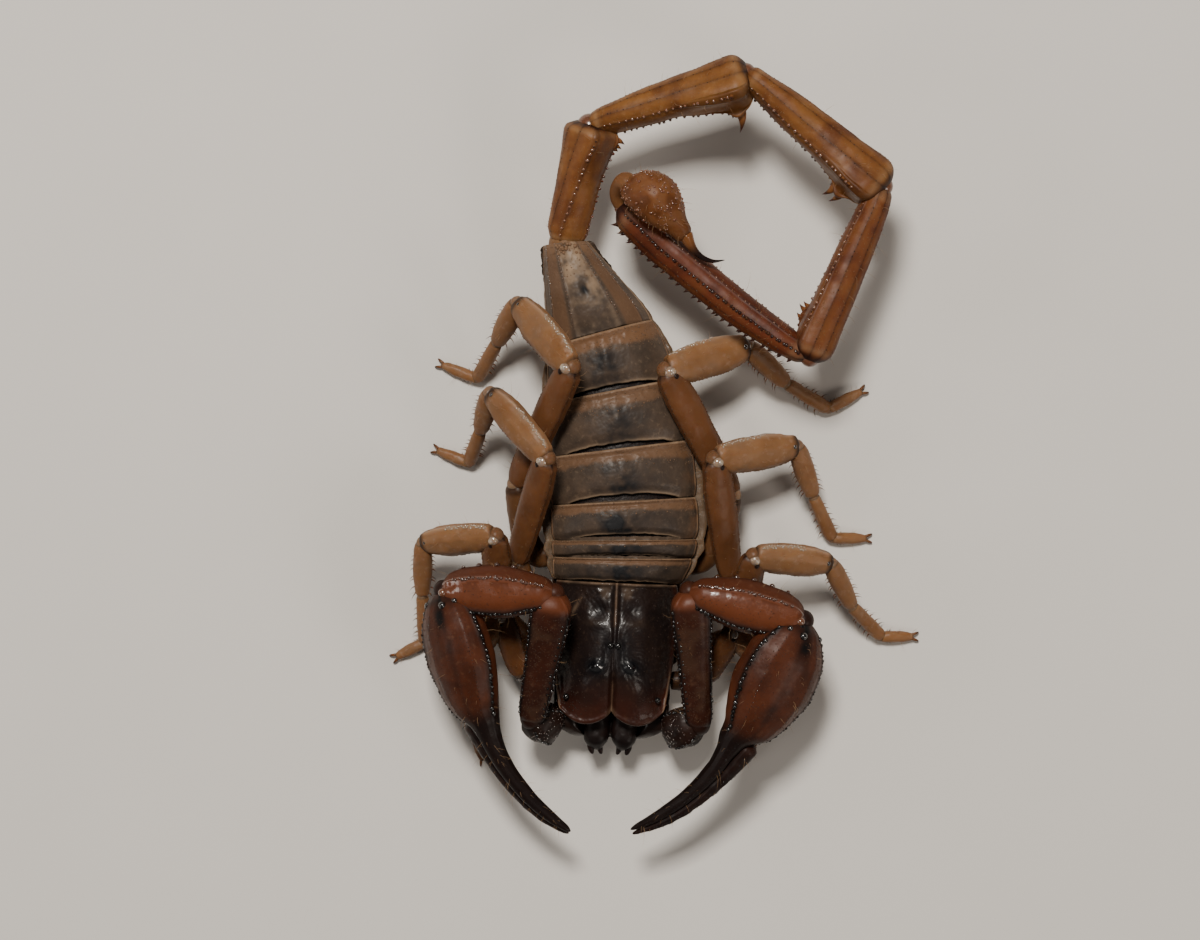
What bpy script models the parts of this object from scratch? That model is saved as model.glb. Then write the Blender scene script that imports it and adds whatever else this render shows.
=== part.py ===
"""Desert scorpion (a large burrowing Urodacus male), life size, as a still museum model.

The animal stands on its eight feet with its head towards -Y and its tail curled to +X, legs
bent, pincers held in front of it. Lengths here are in millimetres and angles in degrees until
finish_solid() writes metres. A heading is measured in plan from +X towards +Y, a pitch is the
climb above the floor. _l and _r are the animal's own left (+X) and right (-X).
"""
import math

import bmesh
import bpy
import numpy as np

ANIMAL = "desert_scorpion"  # the collection, and the empty that every solid is parented to
MM = 0.001
GAP = 0.06  # clear space between two solids that meet
UP = np.array([0.0, 0.0, 1.0])
CORNER = 0.5  # how far a bent joint's outer corner may reach, against its half size
SQUEEZE = 0.25  # how much closer to a bent joint the rings may crowd on its inner side

# ---------------------------------------------------------------- trunk
# Behind the head shield the midline is a chain of seven back plates: (length, heading).
BACK_PLATES = [(1.9, 76), (1.4, 84), (3.0, 91), (4.1, 94), (4.5, 98), (4.6, 102), (7.5, 111)]
# Sections across the trunk: distance behind the head shield, half width of the plates, height of
# their crest, of their rim and of the belly, and half width of the soft flank.
TRUNK_SECTIONS = [
    (0.0, 5.0, 7.9, 5.2, 3.7, 5.0),
    (1.9, 5.5, 8.0, 5.3, 3.7, 5.9),
    (3.3, 5.7, 8.1, 5.3, 3.6, 6.2),
    (4.8, 5.75, 8.1, 5.3, 1.8, 6.3),
    (10.4, 5.6, 7.9, 5.2, 1.6, 6.1),
    (14.9, 5.15, 7.6, 5.1, 1.6, 5.5),
    (19.5, 4.3, 7.3, 5.0, 2.0, 4.4),
    (23.2, 3.1, 7.2, 5.0, 2.8, 3.05),
    (27.0, 1.8, 7.1, 5.2, 3.9, 1.7),
]
# The heading across which the sections are cut turns back towards the tail's at the rear.
SECTION_HEADINGS = [(0.0, 87.5), (14.9, 101.0), (19.5, 105.0), (27.0, 96.0)]
PLATE_THICKNESS = 0.55
PLATE_ARC = 80.0  # a back plate spans this far down each side of its arch
PLATE_LIFT = 0.12  # each plate's rear edge rides over the next one
PLATE_COLUMNS = 11
BELLY_COLUMNS = 7

# ---------------------------------------------------------------- head shield
SHIELD_HEADING = 87.5
SHIELD_LENGTH = 10.0  # at the notch between the two front lobes
SHIELD_LOBE = 1.1  # how far the lobes reach past the notch
SHIELD_HALF_WIDTH = 4.9
SHIELD_CREST = [(0.0, 7.9), (0.25, 8.1), (0.5, 8.35), (0.68, 8.1), (0.85, 7.2), (1.0, 6.4)]
SHIELD_RIM = [(0.0, 5.2), (0.5, 4.9), (0.8, 5.1), (1.0, 5.6)]
SHIELD_UNDERSIDE = [(0.0, 3.6), (0.6, 3.6), (0.74, 4.95), (1.0, 5.0)]
FURROW_DEPTH = 0.4
# The eyes: out from the midline, ahead of the shield's rear edge, height, radius.
MEDIAN_EYE = (0.28, 4.8, 8.36, 0.26)
SIDE_EYE = (3.55, 9.0, 6.32, 0.24)
EYE_SINK = 0.3  # this part of an eye's radius lies below its centre

# ---------------------------------------------------------------- underside and mouth
# Down one flank from the plates' rim: part of the flank's half width, part of the depth there.
FLANK = [(0.985, 0.04), (1.0, 0.16), (0.9, 0.55), (0.76, 0.9), (0.4, 1.0)]
# The hip block: forward place, half width, floor, top of its sides, top of its middle.
HIP_SECTIONS = [
    (12.4, 3.8, 2.4, 4.3, 2.9),
    (11.0, 4.4, 1.9, 4.6, 2.8),
    (9.0, 4.5, 1.5, 4.5, 2.8),
    (7.6, 4.5, 1.3, 3.5, 3.3),
    (6.6, 4.5, 1.2, 3.5, 3.45),
    (6.0, 5.0, 1.2, 3.5, 3.5),
    (-2.2, 5.0, 1.2, 3.5, 3.5),
    (-3.0, 4.6, 1.4, 3.5, 3.5),
]
JAW_OUT = 1.08
JAW_HEIGHT = 3.9
# One jaw from its root to its tip: forward place, half width, half height.
JAW_SECTIONS = [
    (8.7, 0.9, 0.85),
    (10.2, 1.0, 0.98),
    (12.0, 1.0, 1.0),
    (13.0, 0.7, 0.75),
    (14.2, 0.3, 0.3),
]
JAW_TIP_FORWARD = 13.0  # from here on a jaw bends in towards its neighbour
JAW_TIP_INWARD = 0.8
COMB_ROOT = (0.6, -4.3, 1.15)  # out from the midline, forward, height
COMB_LENGTH = 6.6
COMB_HEADING = 48.0
COMB_HALF_THICKNESS = 0.28
# Part of the way along a comb, half width.
COMB_HALF_WIDTHS = [(0.0, 0.45), (0.25, 0.8), (0.7, 0.85), (1.0, 0.35)]

# ---------------------------------------------------------------- legs
# Per pair, front to rear: the hip's place (out, forward, height), the lengths of trochanter,
# femur, patella, tibia, basitarsus and foot, and the girth against the third pair's.
LEG_PAIRS = {
    1: ((4.56, 7.6, 2.9), (1.7, 5.0, 4.9, 3.6, 3.2, 2.3), 0.80),
    2: ((5.06, 5.0, 3.0), (3.3, 7.6, 6.4, 4.8, 4.4, 2.5), 0.94),
    3: ((5.06, 2.0, 3.0), (4.0, 9.9, 7.1, 4.8, 4.4, 2.7), 1.00),
    4: ((5.06, -1.8, 2.8), (6.2, 11.4, 7.3, 4.8, 4.6, 3.0), 1.05),
}
HIP_TIP = 1.3  # how far a hip stands out of the hip block
# Per leg, (heading, pitch) of trochanter, femur and patella, then the headings of tibia,
# basitarsus and foot, whose pitch is what brings the ankle down to the floor.
LEG_POSES = {
    "1_l": ((10, 32), (61, 28), (-46, -27), (-94, -111, -128)),
    "2_l": ((18, 22), (77, 30), (-6, -18), (-62, -45, 0)),
    "3_l": ((46, 24), (98, 21), (9, -23), (-70, -64, 0)),
    "4_l": ((64, 20), (118.5, 17), (17, -24), (-42, -30, 28)),
    "1_r": ((172, 36), (106, 20), (-132, -24), (-88, -79, -74)),
    "2_r": ((140, 14), (93, 34), (-174, -26), (-92, -89, -153)),
    "3_r": ((112, 26), (73, 33), (131, -19), (-107, -112, 158)),
    "4_r": ((106, 22), (64, 29), (130, -27), (-120, -121, 158)),
}
ANKLE_HEIGHT = 0.62
TOE_HEIGHT = 0.36
SOLE = 0.16  # a foot's points under this height are pressed flat on the floor
# Sections as (stretch, part of the way along it, half breadth, half thickness).
LEG_UPPER = [
    (0, 0.0, 0.85, 0.8),
    (1, 0.0, 0.95, 0.85),
    (1, 0.6, 0.95, 0.8),
    (2, 0.0, 0.72, 0.66),
    (2, 0.25, 1.08, 0.76),
    (2, 0.7, 1.18, 0.82),
    (2, 1.0, 0.85, 0.72),
]
LEG_PATELLA = [
    (0, 0.0, 0.8, 0.7),
    (0, 0.22, 1.25, 0.82),
    (0, 0.6, 1.35, 0.88),
    (0, 0.86, 1.1, 0.8),
    (0, 1.0, 0.66, 0.62),
]
LEG_FOOT = [
    (0, 0.0, 0.62, 0.6),
    (0, 0.35, 0.82, 0.74),
    (0, 0.8, 0.7, 0.64),
    (1, 0.0, 0.52, 0.5),
    (1, 0.5, 0.56, 0.54),
    (2, 0.0, 0.46, 0.6),
    (2, 0.55, 0.46, 0.48),
    (2, 1.0, 0.3, 0.35),
]

# ---------------------------------------------------------------- pincer arms
ARM_ROOT = (4.46, 11.5, 3.9)  # out, forward, height
ARM_LENGTHS = (3.1, 11.0, 9.0, 11.0)  # trochanter, femur, patella, palm
FINGER_LENGTH = 10.8
FINGER_PIECES = 4
FINGER_TURN = 9.5  # the fingers curve inward by this from one piece to the next
# Per arm, (heading, pitch) of trochanter, femur, patella and palm, and how far the fingers'
# plane is rolled: 0 opens the movable finger sideways, 90 opens it downwards.
ARM_POSES = {
    "l": ((15, 36), (94.5, 18), (-14.5, -1), (-117, -6), 25),
    "r": ((155, 54), (79.5, 25), (179, -19), (-74.5, -4), 60),
}
ARM_TROCHANTER = [
    (0, 0.0, 1.3, 1.2),
    (0, 0.3, 1.6, 1.45),
    (0, 0.7, 1.55, 1.4),
    (0, 1.0, 0.95, 0.95),
]
ARM_FEMUR = [
    (0, 0.0, 0.95, 0.95),
    (0, 0.15, 1.15, 1.15),
    (0, 0.5, 1.35, 1.2),
    (0, 0.84, 1.6, 1.35),
    (0, 1.0, 1.1, 1.1),
]
ARM_PATELLA = [
    (0, 0.0, 1.05, 1.05),
    (0, 0.18, 1.6, 1.4),
    (0, 0.5, 1.95, 1.5),
    (0, 0.8, 1.75, 1.45),
    (0, 1.0, 1.1, 1.1),
]
# The palm and the fixed finger that grows from it: stretch, part of the way, half size across
# the fingers' plane, half size in it, and shift away from the movable finger.
ARM_PALM = [
    (0, 0.0, 1.1, 1.1, 0.0),
    (0, 0.14, 2.3, 1.7, 0.0),
    (0, 0.3, 3.1, 2.2, 0.0),
    (0, 0.5, 3.3, 2.3, 0.0),
    (0, 0.7, 2.8, 2.1, 0.05),
    (0, 0.86, 1.95, 1.65, 0.1),
    (1, 0.0, 0.82, 1.0, 0.85),
    (2, 0.0, 0.6, 0.72, 0.63),
    (3, 0.0, 0.52, 0.6, 0.55),
    (4, 0.0, 0.44, 0.5, 0.47),
    (4, 1.0, 0.27, 0.27, 0.3),
]
ARM_FINGER = [
    (0, 0.0, 0.75, 0.95, -0.78),
    (1, 0.0, 0.58, 0.7, -0.61),
    (2, 0.0, 0.5, 0.58, -0.53),
    (3, 0.0, 0.42, 0.48, -0.45),
    (3, 1.0, 0.26, 0.26, -0.29),
]
KNUCKLE_SLOPE = 45.0  # the palm's end slants back on the movable finger's side

# ---------------------------------------------------------------- tail
TAIL_HEIGHT = 5.5
# Per tail segment: length, heading, pitch, half width, half depth at the front, middle and
# rear, and how far its back side is turned up from the inside of the curl at both ends.
TAIL_SEGMENTS = [
    (9.4, 78, 15, 1.75, (1.3, 1.55, 1.9), (70, 30)),
    (12.7, 18, 9, 1.6, (1.0, 1.4, 1.7), (20, 15)),
    (13.6, -39.5, 0, 1.55, (1.05, 1.5, 1.85), (8, 8)),
    (14.2, -113, -2, 1.5, (1.15, 1.42, 1.55), (8, 8)),
    (18.4, 141, -3, 1.4, (1.1, 1.35, 1.45), (20, 25)),
]
TAIL_BOW = (0, 0, 0, 0, 0.55)  # how far the middle of each segment bows to its belly side
TAIL_END_TAPER = 0.74
# The keeled outline of a segment: angle from the middle of its back, and how far out.
TAIL_OUTLINE = [(0, 0.84), (38, 1.04), (75, 0.98), (108, 1.0), (145, 1.0), (180, 0.96)]
SPINE_KEEL = 1  # the outline's keel that ends in a spine
SPINE_LIFT = (1.15, 1.5, 1.55, 1.35, 1.0)  # how far it stands out at the end of each segment
# The sting bulb folds back beside the last segment: its stalk leaves that segment's end and
# turns over into the bulb's axis. Places are onward from the last joint, and away from the
# last segment in the plane of the fold, which is turned up from the inside of the curl.
FOLD_ROLL = 54.0
STALK = [(GAP, 0.4, 0.62), (1.0, 1.2, 0.62)]  # onward, away, half size
BULB_ROOT = (0.9, 2.5)  # onward, away
BULB_LENGTH = 6.3
BULB_HEADING = -42.0
BULB_PITCH = 3.0
# Part of the way along the bulb's axis, half size, shift away from the last segment.
BULB_SECTIONS = [
    (0.0, 0.75, 0.0),
    (0.1, 1.35, 0.45),
    (0.25, 1.9, 0.8),
    (0.42, 2.05, 0.95),
    (0.62, 1.75, 0.75),
    (0.82, 1.1, 0.35),
    (1.0, 0.62, 0.0),
]
# The sting: pieces of one length that turn outward one after another, and their half sizes.
STING_PIECE = 0.95
STING_HEADINGS = (-62, -45, -20, 5)
STING_HALF_SIZES = (0.56, 0.5, 0.43, 0.35, 0.25)
STING_PITCH = -8.0

# ---------------------------------------------------------------- finishes
FINISHES = {
    "shield": ((0.030, 0.016, 0.010), 0.22),
    "back_plate": ((0.075, 0.048, 0.028), 0.32),
    "membrane": ((0.300, 0.220, 0.130), 0.45),
    "underside": ((0.170, 0.090, 0.040), 0.38),
    "tail": ((0.230, 0.085, 0.025), 0.30),
    "sting": ((0.040, 0.012, 0.006), 0.20),
    "arm": ((0.060, 0.018, 0.012), 0.24),
    "leg": ((0.260, 0.150, 0.060), 0.36),
    "eye": ((0.010, 0.010, 0.010), 0.08),
}


# ---------------------------------------------------------------- small helpers
def unit(vector):
    return vector / np.linalg.norm(vector)


def direction(heading, pitch=0.0):
    """The unit vector with this heading and pitch."""
    turn, climb = math.radians(heading), math.radians(pitch)
    level = math.cos(climb)
    return np.array([level * math.cos(turn), level * math.sin(turn), math.sin(climb)])


def walk(start, moves):
    """The places reached from start by moves of (length, heading, pitch), start included."""
    places = [np.array(start, dtype=float)]
    for length, heading, pitch in moves:
        places.append(places[-1] + length * direction(heading, pitch))
    return places


def read_table(table, at):
    """A table's columns, interpolated at its first column's value."""
    columns = np.array(table, dtype=float).T
    values = [float(np.interp(at, columns[0], column)) for column in columns[1:]]
    return values[0] if len(values) == 1 else values


def head_place(out, forward, height):
    """A place given from the middle of the head shield's rear edge."""
    return forward * direction(SHIELD_HEADING) + out * direction(SHIELD_HEADING - 90) + height * UP


def ahead(out, forward, height):
    """As head_place, with forward counted towards the head, which faces -Y."""
    return head_place(out, -forward, height)


def finish(kind):
    """The Principled material of one kind of surface, made once."""
    material = bpy.data.materials.get(kind)
    if material is None:
        colour, roughness = FINISHES[kind]
        material = bpy.data.materials.new(kind)
        material.use_nodes = True
        shader = material.node_tree.nodes["Principled BSDF"]
        shader.inputs["Base Color"].default_value = (*colour, 1.0)
        shader.inputs["Roughness"].default_value = roughness
        shader.inputs["Metallic"].default_value = 0.0
    return material


def finish_solid(name, points, faces, kind, origin):
    """One named object from points in millimetres, with its origin at its root on the animal."""
    mesh = bpy.data.meshes.new(name)
    mesh.from_pydata([tuple((point - origin) * MM) for point in points], [], faces)
    shape = bmesh.new()
    shape.from_mesh(mesh)
    bmesh.ops.recalc_face_normals(shape, faces=shape.faces)
    shape.to_mesh(mesh)
    shape.free()
    mesh.shade_smooth()
    mesh.set_sharp_from_angle(angle=math.radians(40))
    mesh.materials.append(finish(kind))
    piece = bpy.data.objects.new(name, mesh)
    piece.location = origin * MM
    piece.parent = bpy.data.objects[ANIMAL]
    bpy.data.collections[ANIMAL].objects.link(piece)
    return piece


def loft(name, rings, kind):
    """A closed solid through rings of one count of points, with a flat face at each end."""
    count = len(rings[0])
    points = [point for ring in rings for point in ring]
    faces = [tuple(range(count)), tuple(range(len(points) - count, len(points)))]
    for row in range(len(rings) - 1):
        for k in range(count):
            here, after = row * count + k, row * count + (k + 1) % count
            faces.append((here, after, after + count, here + count))
    return finish_solid(name, points, faces, kind, sum(rings[0]) / count)


def plate(name, outer, inner, kind):
    """A closed sheet between two grids of points, outer[row][column] and inner alike."""
    rows, columns = len(outer), len(outer[0])
    points = [p for row in outer for p in row] + [p for row in inner for p in row]
    half = rows * columns
    faces = []
    for r in range(rows - 1):
        for c in range(columns - 1):
            corner = r * columns + c
            quad = (corner, corner + 1, corner + columns + 1, corner + columns)
            faces.append(quad)
            faces.append(tuple(half + k for k in reversed(quad)))
    rim = [r * columns for r in range(rows)]
    rim += [(rows - 1) * columns + c for c in range(1, columns)]
    rim += [r * columns + columns - 1 for r in range(rows - 2, -1, -1)]
    rim += list(range(columns - 2, 0, -1))
    for here, after in zip(rim, rim[1:] + rim[:1]):
        faces.append((here, half + here, half + after, after))
    return finish_solid(name, points, faces, kind, outer[0][columns // 2])


def oval(sides, squareness=0.85):
    """Points of a unit oval, pulled towards a square as squareness falls below 1."""
    turns = (np.arange(sides) + 0.5) * 2 * math.pi / sides
    cosine, sine = np.cos(turns), np.sin(turns)
    across = np.sign(cosine) * np.abs(cosine) ** squareness
    along = np.sign(sine) * np.abs(sine) ** squareness
    return list(zip(across, along))


def keeled_outline():
    """The tail's outline as (across, towards the back) points, both sides of the middle."""
    half = [(math.radians(angle), reach) for angle, reach in TAIL_OUTLINE]
    right = [(reach * math.sin(angle), reach * math.cos(angle)) for angle, reach in half]
    left = [(-across, up) for across, up in reversed(right[1:-1])]
    return right + left


# ---------------------------------------------------------------- limbs
def joint_plane(before, after):
    """The normal of the plane in which two stretches of a limb meet."""
    return unit(before + after)


def limb_rings(places, sections, thin, outline, first_cut, last_cut, end_gap=GAP / 2):
    """Rings of a limb piece that runs through places.

    A section is (stretch, part of the way, half breadth, half thickness) and may add how far it
    is shifted along its breadth and along its thickness. Its outline lies square to its stretch,
    except where it would pass the plane of a joint. The rings at both ends lie in the planes of
    first_cut and last_cut, end_gap short of them. thin gives the direction of the thickness at
    any stretch and part of the way.
    """
    legs = [places[k + 1] - places[k] for k in range(len(places) - 1)]
    runs = [unit(leg) for leg in legs]
    cuts = [first_cut] + [joint_plane(a, b) for a, b in zip(runs, runs[1:])] + [last_cut]
    rings = []
    for section in sections:
        stretch, part, breadth, thickness, shift, lift = (*section, 0.0, 0.0)[:6]
        run, length = runs[stretch], np.linalg.norm(legs[stretch])
        up = thin(stretch, part)
        up = unit(up - run * up.dot(run))
        side = np.cross(up, run)
        gaps = [end_gap if stretch == 0 else 0.0, end_gap if stretch == len(runs) - 1 else 0.0]
        ring = []
        for across, along in outline:
            offset = side * (across * breadth + shift) + up * (along * thickness + lift)
            start = (gaps[0] - offset.dot(cuts[stretch])) / run.dot(cuts[stretch])
            end = length - (gaps[1] + offset.dot(cuts[stretch + 1])) / run.dot(cuts[stretch + 1])
            overhang = CORNER * np.linalg.norm(offset)
            if part == 0.0:
                reach = max(start, -overhang)
            elif part == 1.0:
                reach = min(end, length + overhang)
            else:
                reach = max(part * length, start + SQUEEZE * part * length)
                reach = min(reach, end - SQUEEZE * (1 - part) * length)
            ring.append(places[stretch] + run * reach + offset)
        rings.append(ring)
    return rings


def steady(vector):
    """A thin() for limb_rings that is the same all along."""
    return lambda stretch, part: vector


def leg_places(leg):
    """The joints of a leg: hip, hip tip, trochanter end, knee, patella end, tibia end, ankle, toe."""
    pair, side = int(leg[0]), leg[-1]
    sign = 1 if side == "l" else -1
    (out, forward, height), lengths, _ = LEG_PAIRS[pair]
    *upper, lower = LEG_POSES[leg]
    outward = SHIELD_HEADING - 90 * sign
    moves = [(HIP_TIP, outward, 0)]
    moves += [(length, heading, pitch) for length, (heading, pitch) in zip(lengths, upper)]
    places = walk(ahead(sign * out, forward, height), moves)
    shin = lengths[3] + lengths[4]
    drop = math.degrees(math.asin((places[-1][2] - ANKLE_HEIGHT) / shin))
    sole = math.degrees(math.asin((ANKLE_HEIGHT - TOE_HEIGHT) / lengths[5]))
    falls = (-drop, -drop, -sole)
    places += walk(places[-1], list(zip(lengths[3:], lower, falls)))[1:]
    return places


def build_leg(leg):
    """The three solids of one leg."""
    places = leg_places(leg)
    girth = LEG_PAIRS[int(leg[0])][2]
    runs = [unit(b - a) for a, b in zip(places, places[1:])]
    knee_axis = unit(np.cross(runs[2], runs[3]))
    knee_axis = knee_axis if knee_axis[2] > 0 else -knee_axis

    def grown(sections):
        return [(stretch, part, girth * b, girth * t) for stretch, part, b, t in sections]

    name = "leg" + leg
    knee, ankle_top = joint_plane(runs[2], runs[3]), joint_plane(runs[3], runs[4])
    upper = limb_rings(places[:4], grown(LEG_UPPER), steady(knee_axis), oval(8), runs[0], knee)
    loft(name + "_femur", upper, "leg")
    middle = limb_rings(places[3:5], grown(LEG_PATELLA), steady(knee_axis), oval(8), knee, ankle_top)
    loft(name + "_patella", middle, "leg")
    foot_sections = grown(LEG_FOOT[:5]) + LEG_FOOT[5:]
    lower = limb_rings(places[4:], foot_sections, steady(UP), oval(8), ankle_top, runs[6])
    for ring in lower:
        for point in ring:
            point[2] = 0.0 if point[2] < SOLE else point[2]
    loft(name + "_foot", lower, "leg")


def arm_places(side):
    """The joints of a pincer arm, from its root to the fingers' root."""
    sign = 1 if side == "l" else -1
    out, forward, height = ARM_ROOT
    moves = [(length, *aim) for length, aim in zip(ARM_LENGTHS, ARM_POSES[side][:4])]
    return walk(ahead(sign * out, forward, height), moves)


def build_arm(side):
    """The five solids of one pincer arm."""
    sign = 1 if side == "l" else -1
    places = arm_places(side)
    runs = [unit(b - a) for a, b in zip(places, places[1:])]
    outward = direction(SHIELD_HEADING - 90 * sign)
    cuts = [outward] + [joint_plane(a, b) for a, b in zip(runs, runs[1:])]
    name = "pedipalp_" + side + "_"
    for k, (part, sections) in enumerate(
        [("trochanter", ARM_TROCHANTER), ("femur", ARM_FEMUR), ("patella", ARM_PATELLA)]
    ):
        rings = limb_rings(places[k : k + 2], sections, steady(UP), oval(10, 0.8), cuts[k], cuts[k + 1])
        loft(name + part, rings, "arm")

    palm_heading, palm_pitch = ARM_POSES[side][3]
    step = FINGER_LENGTH / FINGER_PIECES
    turns = [-sign * FINGER_TURN * (k + 1) for k in range(FINGER_PIECES)]
    finger = walk(places[4], [(step, palm_heading + turn, palm_pitch) for turn in turns])
    roll = math.radians(ARM_POSES[side][4])
    level = sign * np.cross(UP, runs[3])
    level = -level if level.dot(outward) < 0 else level
    opening = math.cos(roll) * level - math.sin(roll) * UP
    thin = np.cross(runs[3], opening)
    last = unit(finger[-1] - finger[-2])
    palm = limb_rings([places[3]] + finger, ARM_PALM, steady(-thin), oval(10, 0.9), cuts[3], last)
    loft(name + "hand", palm, "arm")
    slope = math.radians(KNUCKLE_SLOPE)
    knuckle = math.cos(slope) * runs[3] + math.sin(slope) * unit(opening)
    rings = limb_rings(finger, ARM_FINGER, steady(-thin), oval(8, 0.9), knuckle, last)
    loft(name + "finger", rings, "arm")


# ---------------------------------------------------------------- trunk
def plate_edges():
    """How far behind the head shield each back plate starts, and where the last one ends."""
    return np.concatenate([[0.0], np.cumsum([length for length, _ in BACK_PLATES])])


def midline(distance):
    """The place in plan of the trunk's midline behind the head shield."""
    places = walk((0, 0, 0), [(length, heading, 0) for length, heading in BACK_PLATES])
    edges = plate_edges()
    return np.array([np.interp(distance, edges, [p[axis] for p in places]) for axis in range(3)])


def across_trunk(distance, out, height):
    """A place in the trunk's section at a distance behind the head shield."""
    side = direction(read_table(SECTION_HEADINGS, distance) - 90)
    return midline(distance) + out * side + height * UP


def arch(distance, half_width, crest, rim, columns):
    """An arched row across the trunk, from its right rim over the crest to its left."""
    limit = math.radians(PLATE_ARC)
    row = []
    for angle in np.linspace(-limit, limit, columns):
        rise = (math.cos(angle) - math.cos(limit)) / (1 - math.cos(limit))
        out = half_width * math.sin(angle) / math.sin(limit)
        row.append(across_trunk(distance, out, rim + (crest - rim) * rise))
    return row


def build_back_plates():
    """The seven arched plates, each a closed sheet."""
    edges = plate_edges()
    for k, (start, end) in enumerate(zip(edges, edges[1:])):
        outer, inner = [], []
        for part in (0.0, 0.5, 1.0):
            distance = start + (end - start) * part
            clear = distance + GAP / 2 * (1 - 2 * part)
            width, crest, rim, _, _ = read_table(TRUNK_SECTIONS, distance)
            inside = width - PLATE_THICKNESS, crest - PLATE_THICKNESS
            outer.append(arch(clear, width, crest + PLATE_LIFT * part, rim, PLATE_COLUMNS))
            inner.append(arch(clear, *inside, rim, PLATE_COLUMNS))
        plate("tergite_" + str(k + 1), outer, inner, "back_plate")


def build_belly():
    """The soft flanks and the belly plates, one body under the back plates."""
    rings = []
    edges = plate_edges()
    stations = sorted(set(edges) | set((edges[1:] + edges[:-1]) / 2))
    for distance in stations:
        width, crest, rim, floor, flank = read_table(TRUNK_SECTIONS, distance)
        inset = PLATE_THICKNESS + GAP
        top = arch(distance, width - inset, crest - inset, rim - GAP, BELLY_COLUMNS)
        wall = [(out * flank, rim - down * (rim - floor)) for out, down in FLANK]
        left = [across_trunk(distance, out, height) for out, height in wall]
        right = [across_trunk(distance, -out, height) for out, height in reversed(wall)]
        rings.append(top + left + right)
    loft("belly", rings, "membrane")


def shield_top(u, v):
    """A place on the head shield: u runs -1 to 1 across it, v from its rear edge to its front."""
    lobes = SHIELD_LOBE * abs(math.sin(math.pi * abs(u))) ** 0.7 - 0.3 * u**4
    forward = v * (SHIELD_LENGTH + lobes)
    out = u * (SHIELD_HALF_WIDTH - 0.75 * v**2.5)
    crest, rim = read_table(SHIELD_CREST, v), read_table(SHIELD_RIM, v)
    furrow = FURROW_DEPTH * math.exp(-((u / 0.07) ** 2))
    height = rim + (crest - rim) * (1 - abs(u) ** 2.4) - furrow
    return ahead(out, forward, height)


def build_shield():
    """The head shield, solid down to the hips, with its eyes on it."""
    across = [-1, -0.88, -0.7, -0.5, -0.3, -0.14, 0, 0.14, 0.3, 0.5, 0.7, 0.88, 1]
    along = [GAP / 20, 0.12, 0.25, 0.38, 0.5, 0.6, 0.68, 0.76, 0.85, 0.93, 1.0]
    outer = [[shield_top(u, v) for u in across] for v in along]
    inner = []
    for v, row in zip(along, outer):
        low = read_table(SHIELD_UNDERSIDE, v)
        inner.append([np.array([p[0], p[1], low]) for p in row])
    plate("carapace", outer, inner, "shield")
    for side, sign in (("l", 1), ("r", -1)):
        for name, (out, forward, height, radius) in (("median", MEDIAN_EYE), ("lateral", SIDE_EYE)):
            build_eye(f"eye_{name}_{side}", ahead(sign * out, forward, height), radius)


def build_eye(name, place, radius):
    """A low dome that stands on the head shield."""
    shape = bmesh.new()
    bmesh.ops.create_uvsphere(shape, u_segments=10, v_segments=8, radius=radius)
    below = [v for v in shape.verts if v.co.z < -EYE_SINK * radius]
    bmesh.ops.delete(shape, geom=below, context="VERTS")
    rim = [edge for edge in shape.edges if edge.is_boundary]
    bmesh.ops.contextual_create(shape, geom=rim)
    points = [np.array(v.co) + place for v in shape.verts]
    faces = [tuple(v.index for v in face.verts) for face in shape.faces]
    shape.free()
    finish_solid(name, points, faces, "eye", place)


def build_hips():
    """The block of hips and breast plate under the head shield."""
    rings = []
    for forward, half, floor, side_top, middle_top in HIP_SECTIONS:
        left = [
            (0.0, floor),
            (0.6 * half, floor),
            (half, floor + 0.5),
            (half, side_top),
            (0.58 * half, side_top),
            (0.52 * half, middle_top),
        ]
        profile = left + [(-out, height) for out, height in reversed(left[1:])]
        rings.append([ahead(out, forward, height) for out, height in profile])
    loft("coxosternum", rings, "underside")


def build_jaws_and_combs():
    """The two jaws in front of the mouth and the two comb organs behind the hips."""
    for side, sign in (("l", 1), ("r", -1)):
        rings = []
        for forward, half_width, half_height in JAW_SECTIONS:
            out = sign * JAW_OUT * (1.0 if forward < JAW_TIP_FORWARD else JAW_TIP_INWARD)
            ring = [(out + a * half_width, JAW_HEIGHT + b * half_height) for a, b in oval(8)]
            rings.append([ahead(o, forward, h) for o, h in ring])
        loft("chelicera_" + side, rings, "arm")
        out, forward, height = COMB_ROOT
        heading = COMB_HEADING if sign > 0 else 180 - COMB_HEADING
        root = ahead(sign * out, forward, height)
        run, broad = direction(heading), direction(heading + 90)
        rings = []
        for part, half in COMB_HALF_WIDTHS:
            centre = root + run * COMB_LENGTH * part
            corners = [(-1, -1), (1, -1), (1, 1), (-1, 1)]
            rings.append([centre + broad * a * half + UP * b * COMB_HALF_THICKNESS for a, b in corners])
        loft("pecten_" + side, rings, "underside")


# ---------------------------------------------------------------- tail
def tail_places():
    """The joints of the tail, from its root behind the last back plate."""
    root = midline(plate_edges()[-1]) + TAIL_HEIGHT * UP
    return walk(root, [(length, heading, pitch) for length, heading, pitch, *_ in TAIL_SEGMENTS])


def back_of_tail(segment, part):
    """Where the back side of a tail segment faces: inside the curl, turned up by its roll."""
    heading, rolls = TAIL_SEGMENTS[segment][1], TAIL_SEGMENTS[segment][5]
    roll = math.radians(rolls[0] + (rolls[1] - rolls[0]) * part)
    return math.cos(roll) * direction(heading - 90) + math.sin(roll) * UP


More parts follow.
